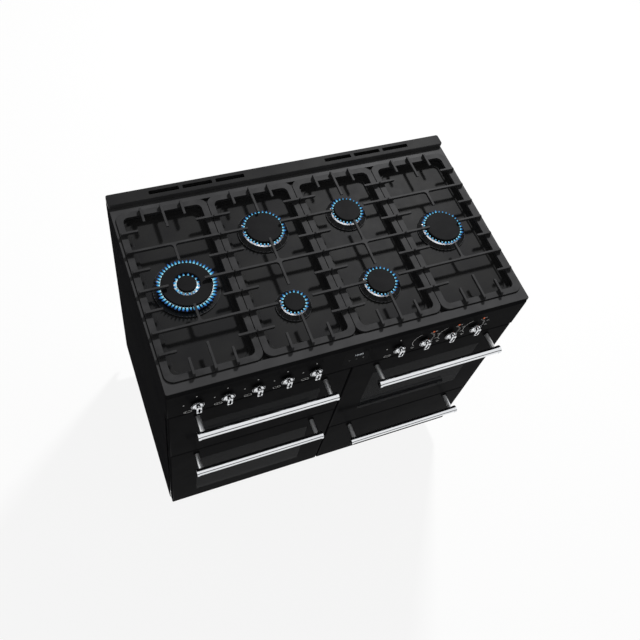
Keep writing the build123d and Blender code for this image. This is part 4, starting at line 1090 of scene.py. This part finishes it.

# %% [markdown]
# ## Seals, fan guard and painted highlights on the burners
# A silicone seal runs round each oven opening in the gap behind the door, a wire guard stands in
# front of the fan, and a thin grey ring round the base of each burner is a painted highlight on its
# rounded edge. All of them follow a line.

# %% Door seals
SEAL_RADIUS = 1.8 * MM
SEAL_CORNER = 22 * MM
SEAL_MARGIN = 14 * MM
OPENING_WIDTH = 440 * MM
TOP_RAIL = 20 * MM
BOTTOM_RAIL = 40 * MM
seals = Lines()
for door in doors:
    skin_low, skin_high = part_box(f"{door}_skin")
    seal_x = middle(f"{door}_skin", X)
    seal_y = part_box(door.replace("_door", "_cavity"))[0][Y] - SEAL_RADIUS
    top = skin_high[Z] - TOP_RAIL
    bottom = skin_low[Z] + BOTTOM_RAIL
    seals.add(front_loop(seal_x, seal_y, (top + bottom) / 2, OPENING_WIDTH + SEAL_MARGIN,
                         top - bottom + SEAL_MARGIN, SEAL_CORNER), closed=True)
rubber = {"Width": SEAL_RADIUS, "Finish": seal_rubber}
settle(grow("door_seals", round_line, rubber, seals.points, seals.edges), "cabinet")
print("door seals:", len(doors))

# %% Fan guard
GUARD_RINGS = (24 * MM, 45 * MM, 66 * MM, 87 * MM)
GUARD_REACH = 88 * MM
guard = Lines()
fan_x = middle("oven_fan", X)
fan_z = middle("oven_fan", Z)
guard_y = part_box("oven_fan")[0][Y] - 3.6 * MM
back_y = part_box("right_oven_cavity")[1][Y] - 2 * MM
for radius in GUARD_RINGS:
    guard.add(front_arc(fan_x, guard_y, fan_z, radius, 0, 350, 35), closed=True)
for angle in (45, 135, 225, 315):
    inner = front_point(fan_x, guard_y, fan_z, GUARD_RINGS[0], angle)
    outer = front_point(fan_x, guard_y, fan_z, GUARD_REACH, angle)
    guard.add([inner, outer, (outer[X], back_y, outer[Z])])
wire = {"Width": 1.2 * MM, "Finish": drawn_steel}
settle(grow("fan_guard", round_line, wire, guard.points, guard.edges), "cabinet")
print("guard points:", len(guard.points))

# %% Painted highlights round the burner bases
HIGHLIGHT_REACH = 18.7 * MM
HIGHLIGHT_STEPS = 72
turns = [math.radians(165 + 340 * i / HIGHLIGHT_STEPS) for i in range(HIGHLIGHT_STEPS + 1)]
base_highlight_rings = Lines()
for name, column, row, radius in burner_bases:
    centre = burner_spot(column, row, FLOOR_Z + 3.0 * MM)
    rim = radius + HIGHLIGHT_REACH
    base_highlight_rings.add([centre + Vector((rim * math.cos(t), rim * math.sin(t), 0)) for t in turns])
# Each ring is a painted highlight on the rounded edge of a burner's base, in the paler enamel.
highlight_ring_wire = {"Width": 0.9 * MM, "Finish": painted_light_enamel}
settle(grow("burner_base_highlights", round_line, highlight_ring_wire, base_highlight_rings.points, base_highlight_rings.edges), "cabinet")
print("burner base highlights:", len(burner_bases))

# %% [markdown]
# ## Lights and floor
# A plain studio: a white surround, a pale floor and two soft lamps. The surround is white to the
# camera and gives a lower, even light to everything else. Mirrored rays see it white overhead and
# dark near the front horizon, like a dark studio wall, which draws the line along the chromed bars.


# %% World
def shown_rays(tree):
    """A tree's Light Path, and a socket that is 1 for camera, mirrored and transmitted rays."""
    rays = add_node(tree, "ShaderNodeLightPath")
    seen = add_node(tree, "ShaderNodeMath", {"operation": "MAXIMUM"},
                    {0: rays.outputs["Is Camera Ray"], 1: rays.outputs["Is Glossy Ray"]})
    shown = add_node(tree, "ShaderNodeMath", {"operation": "MAXIMUM"},
                     {0: seen.outputs["Value"], 1: rays.outputs["Is Transmission Ray"]})
    return rays, shown.outputs["Value"]


world = bpy.data.worlds.new("studio")
scene.world = world
world.use_nodes = True
tree = world.node_tree
tree.nodes.clear()
rays, shown = shown_rays(tree)
level = add_node(tree, "ShaderNodeMapRange", {"To Min": 0.30, "To Max": 1.0}, {"Value": shown})
way = add_node(tree, "ShaderNodeTexCoord").outputs["Generated"]
axes = add_node(tree, "ShaderNodeSeparateXYZ", links={"Vector": way})
turn = add_node(tree, "ShaderNodeMath", {"operation": "ARCTAN2"},
                {0: axes.outputs["Z"], 1: axes.outputs["Y"]})
half_turn = add_node(tree, "ShaderNodeMapRange", {"From Min": 0.0, "From Max": math.pi},
                     {"Value": turn.outputs["Value"]})
wall = add_node(tree, "ShaderNodeValToRGB", links={"Fac": half_turn.outputs["Result"]})
wall.color_ramp.elements[0].position = 0.84
wall.color_ramp.elements[0].color = (1.0, 1.0, 1.0, 1.0)
wall.color_ramp.elements[1].position = 0.87
wall.color_ramp.elements[1].color = (0.03, 0.03, 0.03, 1.0)
mirrored = add_node(tree, "ShaderNodeMapRange", {"To Min": 1.0},
                    {"Value": rays.outputs["Is Glossy Ray"], "To Max": wall.outputs["Color"]})
light = add_node(tree, "ShaderNodeMath", {"operation": "MULTIPLY"},
                 {0: level.outputs["Result"], 1: mirrored.outputs["Result"]})
sky = add_node(tree, "ShaderNodeBackground", {"Color": (1, 1, 1, 1)}, {"Strength": light.outputs["Value"]})
add_node(tree, "ShaderNodeOutputWorld", links={"Surface": sky.outputs["Background"]})
print("world nodes:", len(tree.nodes))

# %% Floor
FLOOR = 8.0
floor_paint, tree, shader, place = start_material("pale_floor", {
    "Base Color": linear("#f2f2f1"), "Roughness": 0.8,
})
rays, shown = shown_rays(tree)
white = add_node(tree, "ShaderNodeEmission", {"Color": (1, 1, 1, 1), "Strength": 1.0})
amount = add_node(tree, "ShaderNodeMath", {"operation": "MULTIPLY", 1: 0.88}, {0: shown})
mixed = add_node(tree, "ShaderNodeMixShader", links={
    0: amount.outputs["Value"], 1: shader.outputs["BSDF"], 2: white.outputs["Emission"],
})
tree.links.new(mixed.outputs["Shader"], tree.nodes["Material Output"].inputs["Surface"])
floor_mesh = bpy.data.meshes.new("studio_floor")
floor_mesh.from_pydata([(-FLOOR, -FLOOR, 0), (FLOOR, -FLOOR, 0), (FLOOR, FLOOR, 0), (-FLOOR, FLOOR, 0)],
                       [], [(0, 1, 2, 3)])
floor_mesh.materials.append(floor_paint)
floor = new_object("studio_floor", floor_mesh)
print("floor side:", 2 * FLOOR, "m")

# %% Lamps
# A row is a lamp's name, its place, the point that it faces, its side in metres and its watts.
lamps = (
    ("rear_key", (1.9, 2.3, 3.9), (0.0, 0.0, 0.9), 0.45, 210.0),
    ("front_fill", (-1.6, -2.6, 2.4), (0.0, 0.0, 0.6), 1.6, 4.0),
)
for name, place, aim, size, watts in lamps:
    lamp_data = bpy.data.lights.new(name, "AREA")
    lamp_data.size = size
    lamp_data.energy = watts
    lamp_object = new_object(name, lamp_data)
    lamp_object.location = place
    lamp_object.rotation_euler = (Vector(aim) - Vector(place)).to_track_quat("-Z", "Y").to_euler()
print("lamps:", len(lamps))
